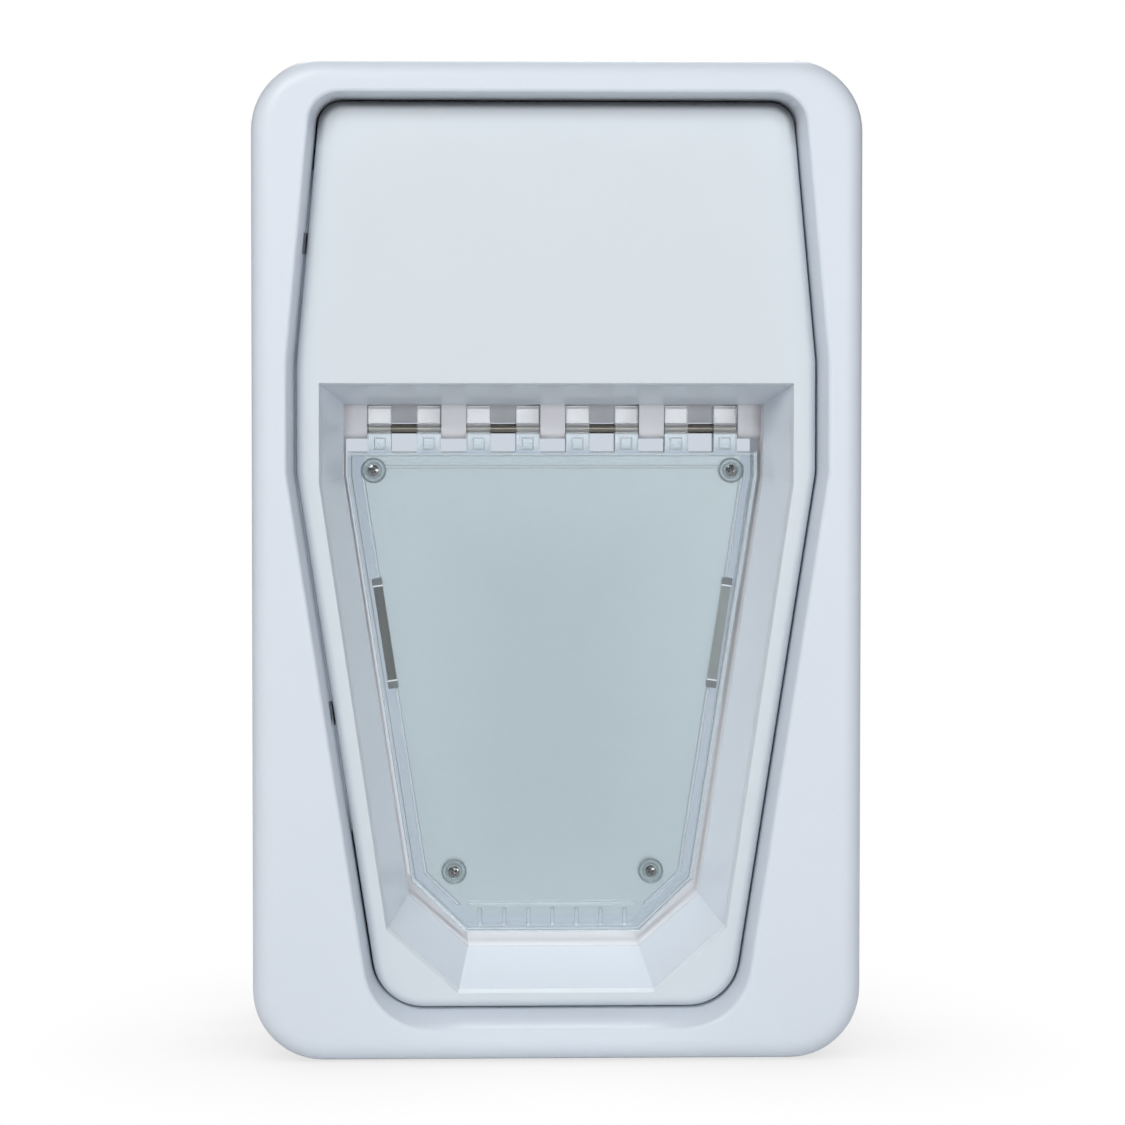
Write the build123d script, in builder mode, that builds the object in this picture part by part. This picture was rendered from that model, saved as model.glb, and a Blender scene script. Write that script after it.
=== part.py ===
from build123d import *
from math import atan, degrees, hypot, radians, tan
import os

os.makedirs("parts", exist_ok=True)

# All sizes are in millimetres. X runs to the right, Y from the room side to the far side, Z up.
# The origin is the centre of the whole fitted door, half way through its depth.
# A half width is measured from the centre line.

# Outer frames and the door leaf between them
frame_w = 236.0
frame_h = 387.0
frame_corner_r = 27.5
frame_edge_r = 8.0
frame_wall = 3.0
frame_front_t = 5.0
front_depth = 60.0
door_t = 38.0
rear_depth = 12.0
rear_edge_r = 6.0
rear_skin_t = 3.5
rib_t = 2.0
rib_row_shares = (-0.31, -0.18, -0.05, 0.08, 0.21, 0.34)
rib_column_shares = (-0.255, -0.085, 0.085, 0.255)

# Removable front cover: a tall coffin shape with rounded corners, set in from the frame's edges
cover_side_margin = 17.0
cover_top_margin = 15.5
cover_bottom_margin = 19.1
cover_shoulder_h = 100.7
cover_waist_h = 43.0
cover_top_in = 9.3
cover_bottom_in = 32.2
cover_top_r = 9.3
cover_kink_r = 20.0
cover_bottom_r = 19.8
cover_edge_r = 3.5
cover_inset = 11.0
cover_skirt = 9.0
cover_wall = 2.5
cover_gap = 0.75

# Bevel of the front frame round the cover
bezel_drop = 16.0
bezel_side = 2.6
bezel_top = 1.8
bezel_bottom = 5.5
bezel_top_r = 12.0
bezel_bottom_r = 26.0
bezel_lip_r = 1.5
notch_w = 2.4
notch_heights = (8.2, 9.4)
notch_place_shares = (0.318, -0.154)
notch_depth = 9.0

# Passage: its narrow throat, and how far the bevelled mouth flares from it
throat_side_in = 17.7
throat_low_in = 25.5
throat_toe_in = 49.3
throat_side_h = 28.7
throat_toe_h = 20.7
throat_sill_h = 19.3
mouth_side = 8.9
mouth_top = 8.2
mouth_kink_drop = 2.1
mouth_low_side = 8.6
mouth_low_drop = 9.2
mouth_toe_side = 4.5
mouth_bottom = 13.7

# Back plate, tunnel and the sleeve that slides over it
plate_t = 2.5
throat_stand = 20.5
flange_over = 2.0
tunnel_wall = 2.5
tunnel_back = 12.0
sleeve_gap = 0.4
sleeve_lap = 8.0
rim_gap = 0.3

# Hinge
pin_drop = 9.7
pin_stand = 7.5
pin_r = 2.0
pin_fit = 0.05
end_knuckle_in = 4.1
knuckle_count = 5
frame_knuckle_w = 10.0
flap_knuckle_w = 9.4
knuckle_side_gap = 0.3
lintel_gap = 0.65
lintel_t = 2.5
lintel_drop = 2.3
ceiling_gap = 1.15
clip_t = 0.8
clip_r = 4.0

# Flap: two clear shells screwed together round two steel strips
flap_t = 8.0
flap_skin = 1.8
flap_rim = 1.6
flap_parting = 0.06
flap_top_drop = 9.2
flap_side_gap = 1.2
flap_toe_gap = 3.8
flap_toe_side = 1.0
flap_edge_r = 0.8
lug_rise = 9.0
lug_top_r = 1.0
border_inset = 5.6
border_w = 0.9
border_bottom_rise = 10.8
top_screw_in = 11.6
top_screw_drop = 7.5
toe_screw_out = 5.6
toe_screw_rise = 24.3
flap_boss_r = 4.7
flap_screw_r = 1.2
flap_head_r = 2.3
flap_head_t = 1.3
window_w = 4.4
window_h = 4.6
window_depth = 1.0
window_rise = 0.9
screw_clear = 0.3
tooth_count = 7
end_tooth_in = 4.9
tooth_w = 1.3
tooth_h = 6.5
tooth_rise = 2.6
strip_w = 3.75
strip_l = 41.4
strip_t = 3.0
strip_drop = 82.0
strip_inset = 5.3
strip_gap = 0.3
strip_clip_h = 3.2
strip_clip_w = 5.6
strip_clip_grip = 1.5
strip_clip_fit = 0.1

# Lock above the hinge
lock_travel = 4.5
prong_t = 2.2
prong_w = 7.0
prong_gap = 0.6
prong_slot_gap = 0.35
prong_lift = 0.3
fork_bridge_t = 3.0
plunger_r = 4.0
plunger_fit = 0.1
plunger_l = 18.0
solenoid_w = 18.0
solenoid_h = 22.0
solenoid_wall = 2.0
solenoid_gap = 1.2
coil_r = 6.3
coil_clear = 0.3

# Reader coil, circuit board and its parts
reader_t = 3.0
reader_l = 3.5
reader_gap = 0.3
reader_setback = 0.7
board_side_in = 19.0
board_h = 25.0
board_t = 1.6
board_rise = 23.7
board_stand = 26.0
board_post_r = 3.0
board_post_inset_x = 8.0
board_post_inset_z = 4.0
board_screw_r = 1.1
board_head_r = 2.2
board_head_t = 1.2
board_screw_l = 8.0
chip_w = 12.0
chip_t = 1.2
switch_w = 7.0
switch_t = 4.0
switch_spread = 60.0
button_r = 3.5
button_t = 2.0
button_stem_r = 1.8
button_stem_fit = 0.08
button_stem_in = 1.5
button_gap = 0.3
button_travel = 1.2
lamp_r = 1.5
lamp_h = 2.2
lamp_spread = 24.0

# Batteries and their tray
cell_r = 16.6
cell_l = 61.5
cell_nub_r = 4.75
cell_nub_l = 1.5
cell_gap = 0.3
cell_edge_r = 1.2
cell_row_gap = 1.8
tray_board_gap = 2.1
tray_top_gap = 7.6
tray_wall = 2.0
tray_height = 28.0
tray_end_room = 3.6
cradle_floor = 3.0
cradle_height = 11.0
cradle_t = 2.0
cradle_places = (-48.0, -14.0, 14.0, 48.0)
contact_t = 0.6
contact_w = 22.0
contact_cone_r = 8.0
contact_cone_tip_r = 4.0

# Magnets beside the tunnel that meet the steel strips
magnet_l = 38.0
magnet_w = 9.0
magnet_t = 4.0
magnet_gap = 0.3
magnet_stop = 2.0

# Fasteners and seals
bolt_r = 2.0
bolt_fit = 0.05
bolt_clear = 0.3
bolt_head_r = 4.2
sink_angle = 82.0
bolt_bite = 15.0
bolt_boss_r = 5.0
bolt_side_margin = 18.0
bolt_end_margin = 22.5
chassis_screw_r = 1.25
chassis_screw_l = 12.0
chassis_head_r = 2.4
chassis_screw_shares = (0.388, 0.142, -0.103, -0.336)
seal_w = 4.5
seal_t = 3.0
seal_gap = 0.3
tab_w = 14.0
tab_t = 2.0
tab_l = 8.0
tab_row_shares = (0.362, 0.052, -0.284)
tab_spread = 90.0

# Depths worked out from the sizes above
total_depth = front_depth + door_t + rear_depth
face_y = -total_depth / 2
door_y = face_y + front_depth
rear_y = door_y + door_t
back_y = rear_y + rear_depth
cover_y = face_y + cover_inset
seam_y = face_y + bezel_drop
plate_y = door_y - plate_t
throat_y = plate_y - throat_stand
tunnel_front_y = throat_y + rim_gap
tunnel_back_y = door_y + tunnel_back
sleeve_front_y = tunnel_back_y - sleeve_lap
pin_y = plate_y - pin_stand

# Heights and half widths worked out from the sizes above
cover_wide_half = frame_w / 2 - cover_side_margin
cover_top_half = cover_wide_half - cover_top_in
cover_bottom_half = cover_wide_half - cover_bottom_in
cover_top_z = frame_h / 2 - cover_top_margin
cover_high_kink_z = cover_top_z - cover_shoulder_h
cover_low_kink_z = cover_high_kink_z - cover_waist_h
cover_bottom_z = cover_bottom_margin - frame_h / 2
throat_half = cover_wide_half - throat_side_in
throat_low_half = throat_half - throat_low_in
throat_toe_half = throat_half - throat_toe_in
tray_h = 4 * cell_r + cell_row_gap + 4 * cell_gap
tray_bottom_z = cover_top_z - tray_top_gap - tray_wall - tray_h
board_z = tray_bottom_z - tray_board_gap - board_h / 2
throat_top_z = board_z - board_rise
throat_kink_z = throat_top_z - throat_side_h
throat_bottom_z = cover_bottom_z + throat_sill_h
throat_low_z = throat_bottom_z + throat_toe_h
pin_z = throat_top_z - pin_drop
flap_top_z = pin_z - flap_top_drop
strip_z = pin_z - strip_drop
half_t = flap_t / 2
lug_reach = hypot(lug_rise, half_t)
ceiling_z = pin_z + lug_reach + ceiling_gap
tunnel_top_z = ceiling_z + tunnel_wall
lintel_y = pin_y + lug_reach + lintel_gap
top_lean = (cover_wide_half - cover_top_half) / (cover_top_z - cover_high_kink_z)
bottom_lean = (cover_wide_half - cover_bottom_half) / (cover_low_kink_z - cover_bottom_z)
throat_lean = (throat_half - throat_low_half) / (throat_kink_z - throat_low_z)
flap_bottom_z = throat_bottom_z + flap_toe_gap
flap_screw_places = (
    (throat_half - top_screw_in, flap_top_z - top_screw_drop),
    (throat_toe_half + toe_screw_out, flap_bottom_z + toe_screw_rise),
)
tooth_pitch = 2 * (throat_toe_half - end_tooth_in) / (tooth_count - 1)
knuckle_pitch = 2 * (throat_half - end_knuckle_in) / (knuckle_count - 1)
knuckle_places = [knuckle_pitch * (i - (knuckle_count - 1) / 2) for i in range(knuckle_count)]
inner_knuckles = knuckle_places[1:-1]
end_knuckle_inner = knuckle_places[-1] - frame_knuckle_w / 2
lug_offset = (frame_knuckle_w + flap_knuckle_w) / 2 + knuckle_side_gap
lug_places = [x + side * lug_offset for x in knuckle_places for side in (-1, 1)]
lug_places = [x for x in lug_places if abs(x) < end_knuckle_inner]
board_w = 2 * (cover_wide_half - board_side_in)
bolt_x = frame_w / 2 - bolt_side_margin
bolt_z = frame_h / 2 - bolt_end_margin
bolt_places = ((bolt_x, bolt_z), (bolt_x, -bolt_z))
rib_rows = [share * frame_h for share in rib_row_shares] + [bolt_z, -bolt_z]
rib_columns = [share * frame_w for share in rib_column_shares]
sides = (-1, 1)


def at(y):
    """A sketch plane at depth y that faces the viewer, with X to the right and Z up."""
    return Plane.XZ.offset(-y)


def coffin(side=0.0, top=0.0, bottom=0.0, top_r=cover_top_r, bottom_r=cover_bottom_r, mode=Mode.ADD):
    """The cover's outline, grown at its sides, top and bottom."""
    right = [
        (cover_bottom_half + side - bottom_lean * bottom, cover_bottom_z - bottom),
        (cover_wide_half + side, cover_low_kink_z),
        (cover_wide_half + side, cover_high_kink_z),
        (cover_top_half + side - top_lean * top, cover_top_z + top),
    ]
    left = [(-x, z) for x, z in reversed(right)]
    with BuildSketch(mode=Mode.PRIVATE) as outline:
        Polygon(*right, *left, align=None)
        fillet(outline.vertices().group_by(Axis.Y)[-1], radius=top_r)
        fillet(outline.vertices().group_by(Axis.Y)[0], radius=bottom_r)
        kinks = outline.vertices().filter_by_position(Axis.Y, cover_low_kink_z, cover_high_kink_z)
        fillet(kinks, radius=cover_kink_r)
    add(outline.sketch, mode=mode)


def bezel_coffin(over=0.0, mode=Mode.ADD):
    """The front frame's opening at its face, grown all round."""
    coffin(
        cover_gap + bezel_side + over,
        cover_gap + bezel_top + over,
        cover_gap + bezel_bottom + over,
        bezel_top_r + over,
        bezel_bottom_r + over,
        mode,
    )


def seam_coffin(mode=Mode.ADD):
    """The front frame's opening round the cover."""
    coffin(cover_gap, cover_gap, cover_gap, cover_top_r + cover_gap, cover_bottom_r + cover_gap, mode)


def cover_half_at(z):
    """Half width of the cover at height z."""
    if z > cover_high_kink_z:
        return cover_wide_half - top_lean * (z - cover_high_kink_z)
    if z < cover_low_kink_z:
        return cover_wide_half - bottom_lean * (cover_low_kink_z - z)
    return cover_wide_half


def passage_points(top_z, side=0.0, kink=0.0, low_side=0.0, low_drop=0.0, toe_side=0.0, drop=0.0):
    """Corners of an outline like the throat's, anticlockwise from the right toe."""
    right = [
        (throat_toe_half + toe_side, throat_bottom_z - drop),
        (throat_low_half + low_side, throat_low_z - low_drop),
        (throat_half + side, throat_kink_z - kink),
        (throat_half + side, top_z),
    ]
    return right + [(-x, z) for x, z in reversed(right)]


throat_points = passage_points(throat_top_z)
mouth_points = passage_points(
    throat_top_z + mouth_top,
    mouth_side,
    mouth_kink_drop,
    mouth_low_side,
    mouth_low_drop,
    mouth_toe_side,
    mouth_bottom,
)
tunnel_points = passage_points(ceiling_z)
flap_points = passage_points(
    flap_top_z,
    -flap_side_gap,
    0.0,
    -flap_side_gap,
    -flap_toe_gap,
    flap_toe_side,
    -flap_toe_gap,
)


def outline(points, over=0.0, mode=Mode.ADD):
    """A sharp-cornered outline, offset by the given amount."""
    with BuildSketch(mode=Mode.PRIVATE) as shape:
        Polygon(*points, align=None)
        if over:
            offset(amount=over, kind=Kind.INTERSECTION)
    add(shape.sketch, mode=mode)


def mirrored(places):
    """Each place on both sides of the centre line."""
    return [(side * x, z) for x, z in places for side in sides]


def finish(part, name):
    """Label a finished piece and write its file."""
    part.label = name
    export_step(part, f"parts/{name}.step")


# Front frame: one hollow moulding with a bevelled opening, open at the back
with BuildPart() as front_frame:
    with BuildSketch(at(face_y)):
        RectangleRounded(frame_w, frame_h, frame_corner_r)
    extrude(amount=-front_depth)
    fillet(faces().sort_by(Axis.Y)[0].edges(), radius=frame_edge_r)
    with BuildSketch(at(face_y)):
        bezel_coffin()
    with BuildSketch(at(seam_y)):
        seam_coffin()
    loft(ruled=True, mode=Mode.SUBTRACT)
    with BuildSketch(at(seam_y)):
        seam_coffin()
    extrude(amount=-(door_y - seam_y), mode=Mode.SUBTRACT)
    lip = front_frame.faces().sort_by(Axis.Y)[0].inner_wires()[0].edges()
    fillet(lip, radius=bezel_lip_r)
    with BuildSketch(at(door_y)):
        RectangleRounded(frame_w - 2 * frame_wall, frame_h - 2 * frame_wall, frame_corner_r - frame_wall)
        bezel_coffin(frame_wall, Mode.SUBTRACT)
    extrude(amount=front_depth - frame_front_t, mode=Mode.SUBTRACT)
    # Stiffening ribs across the hollow, and a boss for each through bolt
    with BuildSketch(at(door_y - seal_t)):
        with Locations(*[(0, z) for z in rib_rows]):
            Rectangle(frame_w - frame_wall, rib_t)
        with Locations(*[(x, 0) for x in rib_columns]):
            Rectangle(rib_t, frame_h - frame_wall)
        bezel_coffin(frame_wall / 2, Mode.SUBTRACT)
    extrude(amount=front_depth - seal_t - frame_front_t)
    with BuildSketch(at(door_y)):
        with Locations(*mirrored(bolt_places)):
            Circle(bolt_boss_r)
    extrude(amount=front_depth - frame_front_t)
    with BuildSketch(at(door_y)):
        with Locations(*mirrored(bolt_places)):
            Circle(bolt_r + bolt_fit)
    extrude(amount=bolt_bite + bolt_clear, mode=Mode.SUBTRACT)
    # Seat for the chassis flange on the back of the inner wall, and its screw holes
    with BuildSketch(at(door_y)):
        bezel_coffin(frame_wall + cover_gap)
    extrude(amount=plate_t, mode=Mode.SUBTRACT)
    screw_line = (cover_gap + bezel_side + cover_gap + frame_wall) / 2
    screw_rows = [share * frame_h for share in chassis_screw_shares]
    chassis_screw_places = mirrored([(cover_half_at(z) + screw_line, z) for z in screw_rows])
    with BuildSketch(at(plate_y)):
        with Locations(*chassis_screw_places):
            Circle(chassis_screw_r + bolt_fit)
    extrude(amount=chassis_screw_l, mode=Mode.SUBTRACT)
    # Two pry notches at the foot of the left bevel
    for share, height in zip(notch_place_shares, notch_heights):
        place_z = share * frame_h
        notch_x = -(cover_half_at(place_z) + cover_gap + notch_w / 2)
        with BuildSketch(at(seam_y + notch_depth / 2)):
            with Locations((notch_x, place_z)):
                Rectangle(notch_w, height)
        extrude(amount=notch_depth, mode=Mode.SUBTRACT)
finish(front_frame.part, "front_frame")

# Front cover: a shallow shell with the bevelled mouth cut through its panel
with BuildPart() as front_cover:
    with BuildSketch(at(cover_y)):
        coffin()
    extrude(amount=-cover_skirt)
    fillet(faces().sort_by(Axis.Y)[0].edges(), radius=cover_edge_r)
    with BuildSketch(at(cover_y + cover_skirt)):
        coffin(-cover_wall, -cover_wall, -cover_wall, cover_top_r - cover_wall, cover_bottom_r - cover_wall)
    extrude(amount=cover_skirt - cover_wall, mode=Mode.SUBTRACT)
    with BuildSketch(at(cover_y)):
        outline(mouth_points)
    with BuildSketch(at(throat_y)):
        outline(throat_points)
    loft(ruled=True, mode=Mode.SUBTRACT)
    # Snap tabs behind the skirt
    tab_rows = [share * frame_h for share in tab_row_shares]
    side_tabs = mirrored([(cover_half_at(z) - cover_wall - tab_t / 2, z) for z in tab_rows])
    top_tab_z = cover_top_z - cover_wall - tab_t / 2
    with BuildSketch(at(cover_y + cover_wall)):
        with Locations(*side_tabs):
            Rectangle(tab_t, tab_w)
        with Locations(*[(side * tab_spread / 2, top_tab_z) for side in sides]):
            Rectangle(tab_w, tab_t)
    extrude(amount=-(cover_skirt + tab_l))
finish(front_cover.part, "front_cover")

# Funnel behind the cover's panel, which carries the mouth's bevels back to the tunnel
with BuildPart() as mouth_funnel:
    with BuildSketch(at(cover_y)):
        outline(mouth_points, cover_wall)
    with BuildSketch(at(throat_y)):
        outline(throat_points, cover_wall)
    loft(ruled=True)
    with BuildSketch(at(cover_y)):
        outline(mouth_points)
    with BuildSketch(at(throat_y)):
        outline(throat_points)
    loft(ruled=True, mode=Mode.SUBTRACT)
    with BuildSketch(at(cover_y)):
        Rectangle(frame_w, frame_h)
    extrude(amount=-cover_wall, mode=Mode.SUBTRACT)
finish(mouth_funnel.part, "mouth_funnel")

# Places on the chassis, the tunnel and the lock
tray_half = cell_l + tray_end_room
cell_y = plate_y - cradle_floor - cell_gap - cell_r
cell_rows = (tray_bottom_z + 2 * cell_gap + cell_r, tray_bottom_z + tray_h - 2 * cell_gap - cell_r)
board_back_y = plate_y - board_stand
board_post_x = board_w / 2 - board_post_inset_x
board_post_z = board_h / 2 - board_post_inset_z
board_posts = mirrored([(board_post_x, board_z + board_post_z), (board_post_x, board_z - board_post_z)])
lock_x = min(x for x in lug_places if x > 0)
prong_inner = half_t + prong_gap
prong_middle = prong_inner + prong_t / 2
tunnel_half_at_strip = throat_half - throat_lean * (throat_kink_z - strip_z)
magnet_x = tunnel_half_at_strip + tunnel_wall + magnet_gap + magnet_t / 2
strip_tilt = degrees(atan(throat_lean))

# Tunnel through the back plate, with the lintel and the frame's knuckles
with BuildPart() as tunnel:
    with BuildSketch(at(tunnel_front_y)):
        outline(tunnel_points, tunnel_wall)
    extrude(amount=-(tunnel_back_y - tunnel_front_y))
    with BuildSketch(at(tunnel_front_y)):
        outline(tunnel_points)
    extrude(amount=-(tunnel_back_y - tunnel_front_y), mode=Mode.SUBTRACT)
    # Lintel behind the hinge, then the frame's knuckles, each with its web up to the ceiling
    lintel_bottom_z = pin_z + lintel_drop
    lintel_h = tunnel_top_z - lintel_bottom_z
    with BuildSketch(at(lintel_y)):
        with Locations((0, lintel_bottom_z + lintel_h / 2)):
            Rectangle(2 * throat_half + tunnel_wall, lintel_h)
    extrude(amount=-lintel_t)
    end_w = throat_half + tunnel_wall - end_knuckle_inner
    end_x = end_knuckle_inner + end_w / 2
    knuckle_blocks = [(x, frame_knuckle_w) for x in inner_knuckles] + [(-end_x, end_w), (end_x, end_w)]
    web_top = tunnel_top_z - pin_z
    web_back = lintel_y - pin_y + lintel_t
    for block_x, block_w in knuckle_blocks:
        with BuildSketch(Plane.YZ.offset(block_x)):
            with Locations((pin_y, pin_z)):
                Circle(half_t)
                with Locations((-half_t, 0)):
                    Rectangle(2 * half_t, web_top, align=(Align.MIN, Align.MIN))
                with Locations((-half_t, lintel_drop)):
                    Rectangle(half_t + web_back, web_top - lintel_drop, align=(Align.MIN, Align.MIN))
        extrude(amount=block_w / 2, both=True)
    with BuildSketch(Plane.YZ):
        with Locations((pin_y, pin_z)):
            Circle(pin_r + pin_fit)
    extrude(amount=throat_half + 2 * tunnel_wall, both=True, mode=Mode.SUBTRACT)
    # Slots in the ceiling for the two prongs of the lock
    with BuildSketch(Plane.XY.offset(ceiling_z - tunnel_wall / 2)):
        with Locations(*[(lock_x, pin_y + side * prong_middle) for side in sides]):
            Rectangle(prong_w + 2 * prong_slot_gap, prong_t + 2 * prong_slot_gap)
    extrude(amount=2 * tunnel_wall, mode=Mode.SUBTRACT)
finish(tunnel.part, "tunnel")

# Chassis: back plate with the battery tray, board posts and magnet stops
with BuildPart() as chassis:
    with BuildSketch(at(door_y)):
        bezel_coffin(flange_over)
        outline(tunnel_points, tunnel_wall, Mode.SUBTRACT)
    extrude(amount=plate_t)
    # Battery tray with curved cradles
    tray_middle_z = tray_bottom_z + tray_h / 2
    with BuildSketch(at(plate_y)):
        with Locations((0, tray_middle_z)):
            Rectangle(2 * (tray_half + tray_wall), tray_h + 2 * tray_wall)
            Rectangle(2 * tray_half, tray_h, mode=Mode.SUBTRACT)
    extrude(amount=tray_height)
    with BuildSketch(at(plate_y)):
        with Locations(*[(x, tray_middle_z) for x in cradle_places]):
            Rectangle(cradle_t, tray_h)
    extrude(amount=cradle_height)
    for row_z in cell_rows:
        with BuildSketch(Plane.YZ):
            with Locations((cell_y, row_z)):
                Circle(cell_r + cell_gap)
        extrude(amount=tray_half, both=True, mode=Mode.SUBTRACT)
    # Posts for the circuit board
    with BuildSketch(at(plate_y)):
        with Locations(*board_posts):
            Circle(board_post_r)
    extrude(amount=board_stand)
    with BuildSketch(at(board_back_y)):
        with Locations(*board_posts):
            Circle(board_screw_r + bolt_fit)
    extrude(amount=-board_stand / 2, mode=Mode.SUBTRACT)
    # Stops above and below each tunnel magnet
    for side in sides:
        with BuildSketch(at(plate_y)):
            with Locations(Location((side * magnet_x, strip_z), -side * strip_tilt)):
                with Locations((0, (magnet_l + magnet_stop) / 2 + magnet_gap)):
                    Rectangle(magnet_t + magnet_gap, magnet_stop)
                with Locations((0, -(magnet_l + magnet_stop) / 2 - magnet_gap)):
                    Rectangle(magnet_t + magnet_gap, magnet_stop)
        extrude(amount=magnet_w)
    # Countersunk holes in the flange
    with Locations(*[Location((x, door_y, z), (-90, 0, 0)) for x, z in chassis_screw_places]):
        CounterSinkHole(chassis_screw_r + bolt_clear, chassis_head_r + bolt_fit, plate_t, sink_angle)
finish(chassis.part, "chassis")

# Hinge pin, with a retaining clip at each end
pin_half = throat_half + tunnel_wall + 2 * clip_t + rim_gap
with BuildPart() as hinge_pin:
    with BuildSketch(Plane.YZ):
        with Locations((pin_y, pin_z)):
            Circle(pin_r)
    extrude(amount=pin_half, both=True)
    chamfer(edges().filter_by(GeomType.CIRCLE), length=pin_r / 8)
finish(hinge_pin.part, "hinge_pin")

with BuildPart() as pin_clips:
    for side in sides:
        with BuildSketch(Plane.YZ.offset(side * (throat_half + tunnel_wall + rim_gap))):
            with Locations((pin_y, pin_z)):
                Circle(clip_r)
                Circle(pin_r + pin_fit, mode=Mode.SUBTRACT)
        extrude(amount=side * clip_t)
finish(pin_clips.part, "pin_clips")

# Flap: two shells that meet at the middle plane and clamp the steel strips between them
strip_x = tunnel_half_at_strip - flap_side_gap - strip_inset
strip_frames = [Location((side * strip_x, strip_z, 0), (0, 0, -side * strip_tilt)) for side in sides]
strip_room_w = strip_clip_w + 2 * strip_gap
strip_room_l = strip_l + 2 * (strip_clip_h - strip_clip_grip) + 2 * strip_gap
shell_t = half_t - flap_parting / 2
cavity_t = shell_t - flap_skin


def flap_shell(facing):
    """Half of the flap, on the viewer's side for 1 and on the far side for -1."""
    outer_y = pin_y - facing * half_t
    meet_y = pin_y - facing * flap_parting / 2
    border_low_z = flap_bottom_z + border_bottom_rise
    with BuildPart() as shell:
        with BuildSketch(at(meet_y)):
            outline(flap_points)
        extrude(amount=facing * shell_t)
        outer_face = shell.faces().sort_by(Axis.Y)[0 if facing > 0 else -1]
        fillet(outer_face.edges(), radius=flap_edge_r)
        with BuildSketch(at(meet_y)):
            outline(flap_points, -flap_rim)
        extrude(amount=facing * cavity_t, mode=Mode.SUBTRACT)
        # Raised border line round the middle, left open where the steel strips lie
        with BuildSketch(at(meet_y)):
            outline(flap_points, -border_inset)
            outline(flap_points, -border_inset - border_w, Mode.SUBTRACT)
            with Locations((0, border_low_z)):
                Rectangle(
                    2 * throat_half,
                    2 * border_bottom_rise,
                    align=(Align.CENTER, Align.MAX),
                    mode=Mode.SUBTRACT,
                )
                Rectangle(2 * throat_toe_half, border_w, align=(Align.CENTER, Align.MIN))
            with Locations(*strip_frames):
                Rectangle(strip_room_w, strip_room_l, mode=Mode.SUBTRACT)
        extrude(amount=facing * cavity_t)
        # Screw bosses, and the teeth in the bottom band
        with BuildSketch(at(meet_y)):
            with Locations(*mirrored(flap_screw_places)):
                Circle(flap_boss_r)
            with Locations((0, flap_bottom_z + tooth_rise + tooth_h / 2)):
                with GridLocations(tooth_pitch, tooth_h, tooth_count, 1):
                    Rectangle(tooth_w, tooth_h)
        extrude(amount=facing * cavity_t)
        # Hinge lugs, each with a small window under the pin
        lug_h = pin_z + lug_rise - flap_top_z + flap_rim
        for lug_x in lug_places:
            with BuildSketch(Plane.YZ.offset(lug_x)) as lug:
                with Locations(((meet_y + outer_y) / 2, pin_z + lug_rise)):
                    Rectangle(shell_t, lug_h, align=(Align.CENTER, Align.MAX))
                top_corners = lug.vertices().group_by(Axis.Y)[-1].sort_by(Axis.X)
                fillet(top_corners[0 if facing > 0 else -1], radius=lug_top_r)
            extrude(amount=flap_knuckle_w / 2, both=True)
        with BuildSketch(at(outer_y)):
            with Locations(*[(x, flap_top_z + window_rise + window_h / 2) for x in lug_places]):
                Rectangle(window_w, window_h)
        extrude(amount=-facing * window_depth, mode=Mode.SUBTRACT)
        with BuildSketch(Plane.YZ):
            with Locations((pin_y, pin_z)):
                Circle(pin_r + pin_fit)
        extrude(amount=throat_half, both=True, mode=Mode.SUBTRACT)
        # Screw holes: clear and counterbored in front, tight in the rear shell
        hole_r = flap_screw_r + (screw_clear if facing > 0 else bolt_fit)
        hole_depth = shell_t if facing > 0 else cavity_t
        with BuildSketch(at(meet_y)):
            with Locations(*mirrored(flap_screw_places)):
                Circle(hole_r)
        extrude(amount=facing * hole_depth, mode=Mode.SUBTRACT)
        if facing > 0:
            with BuildSketch(at(outer_y)):
                with Locations(*mirrored(flap_screw_places)):
                    Circle(flap_head_r + screw_clear)
            extrude(amount=-flap_head_t, mode=Mode.SUBTRACT)
    return shell.part


finish(flap_shell(1), "flap_front_shell")
finish(flap_shell(-1), "flap_rear_shell")

with BuildPart() as flap_screws:
    with BuildSketch(at(pin_y - half_t + flap_head_t)):
        with Locations(*mirrored(flap_screw_places)):
            Circle(flap_head_r)
    extrude(amount=flap_head_t - bolt_fit)
    with BuildSketch(at(pin_y - half_t + flap_head_t)):
        with Locations(*mirrored(flap_screw_places)):
            Circle(flap_screw_r)
    extrude(amount=-(half_t - flap_head_t + cavity_t - screw_clear))
finish(flap_screws.part, "flap_screws")

# Steel strips that the tunnel magnets hold, with a moulded clip at each end
for frame, name in zip(strip_frames, ("strip_left", "strip_right")):
    with BuildPart() as strip:
        with BuildSketch(at(pin_y)):
            with Locations(frame):
                Rectangle(strip_w, strip_l)
        extrude(amount=strip_t / 2, both=True)
    finish(strip.part, name)

clip_rise = strip_l / 2 + strip_clip_h / 2 - strip_clip_grip
with BuildPart() as strip_clips:
    with BuildSketch(at(pin_y)):
        with Locations(*strip_frames):
            with Locations((0, clip_rise), (0, -clip_rise)):
                Rectangle(strip_clip_w, strip_clip_h)
    extrude(amount=cavity_t - strip_clip_fit, both=True)
    with BuildSketch(at(pin_y)):
        with Locations(*strip_frames):
            Rectangle(strip_w + 2 * strip_clip_fit, strip_l + 2 * strip_clip_fit)
    extrude(amount=strip_t / 2 + strip_clip_fit, both=True, mode=Mode.SUBTRACT)
finish(strip_clips.part, "strip_clips")

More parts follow.
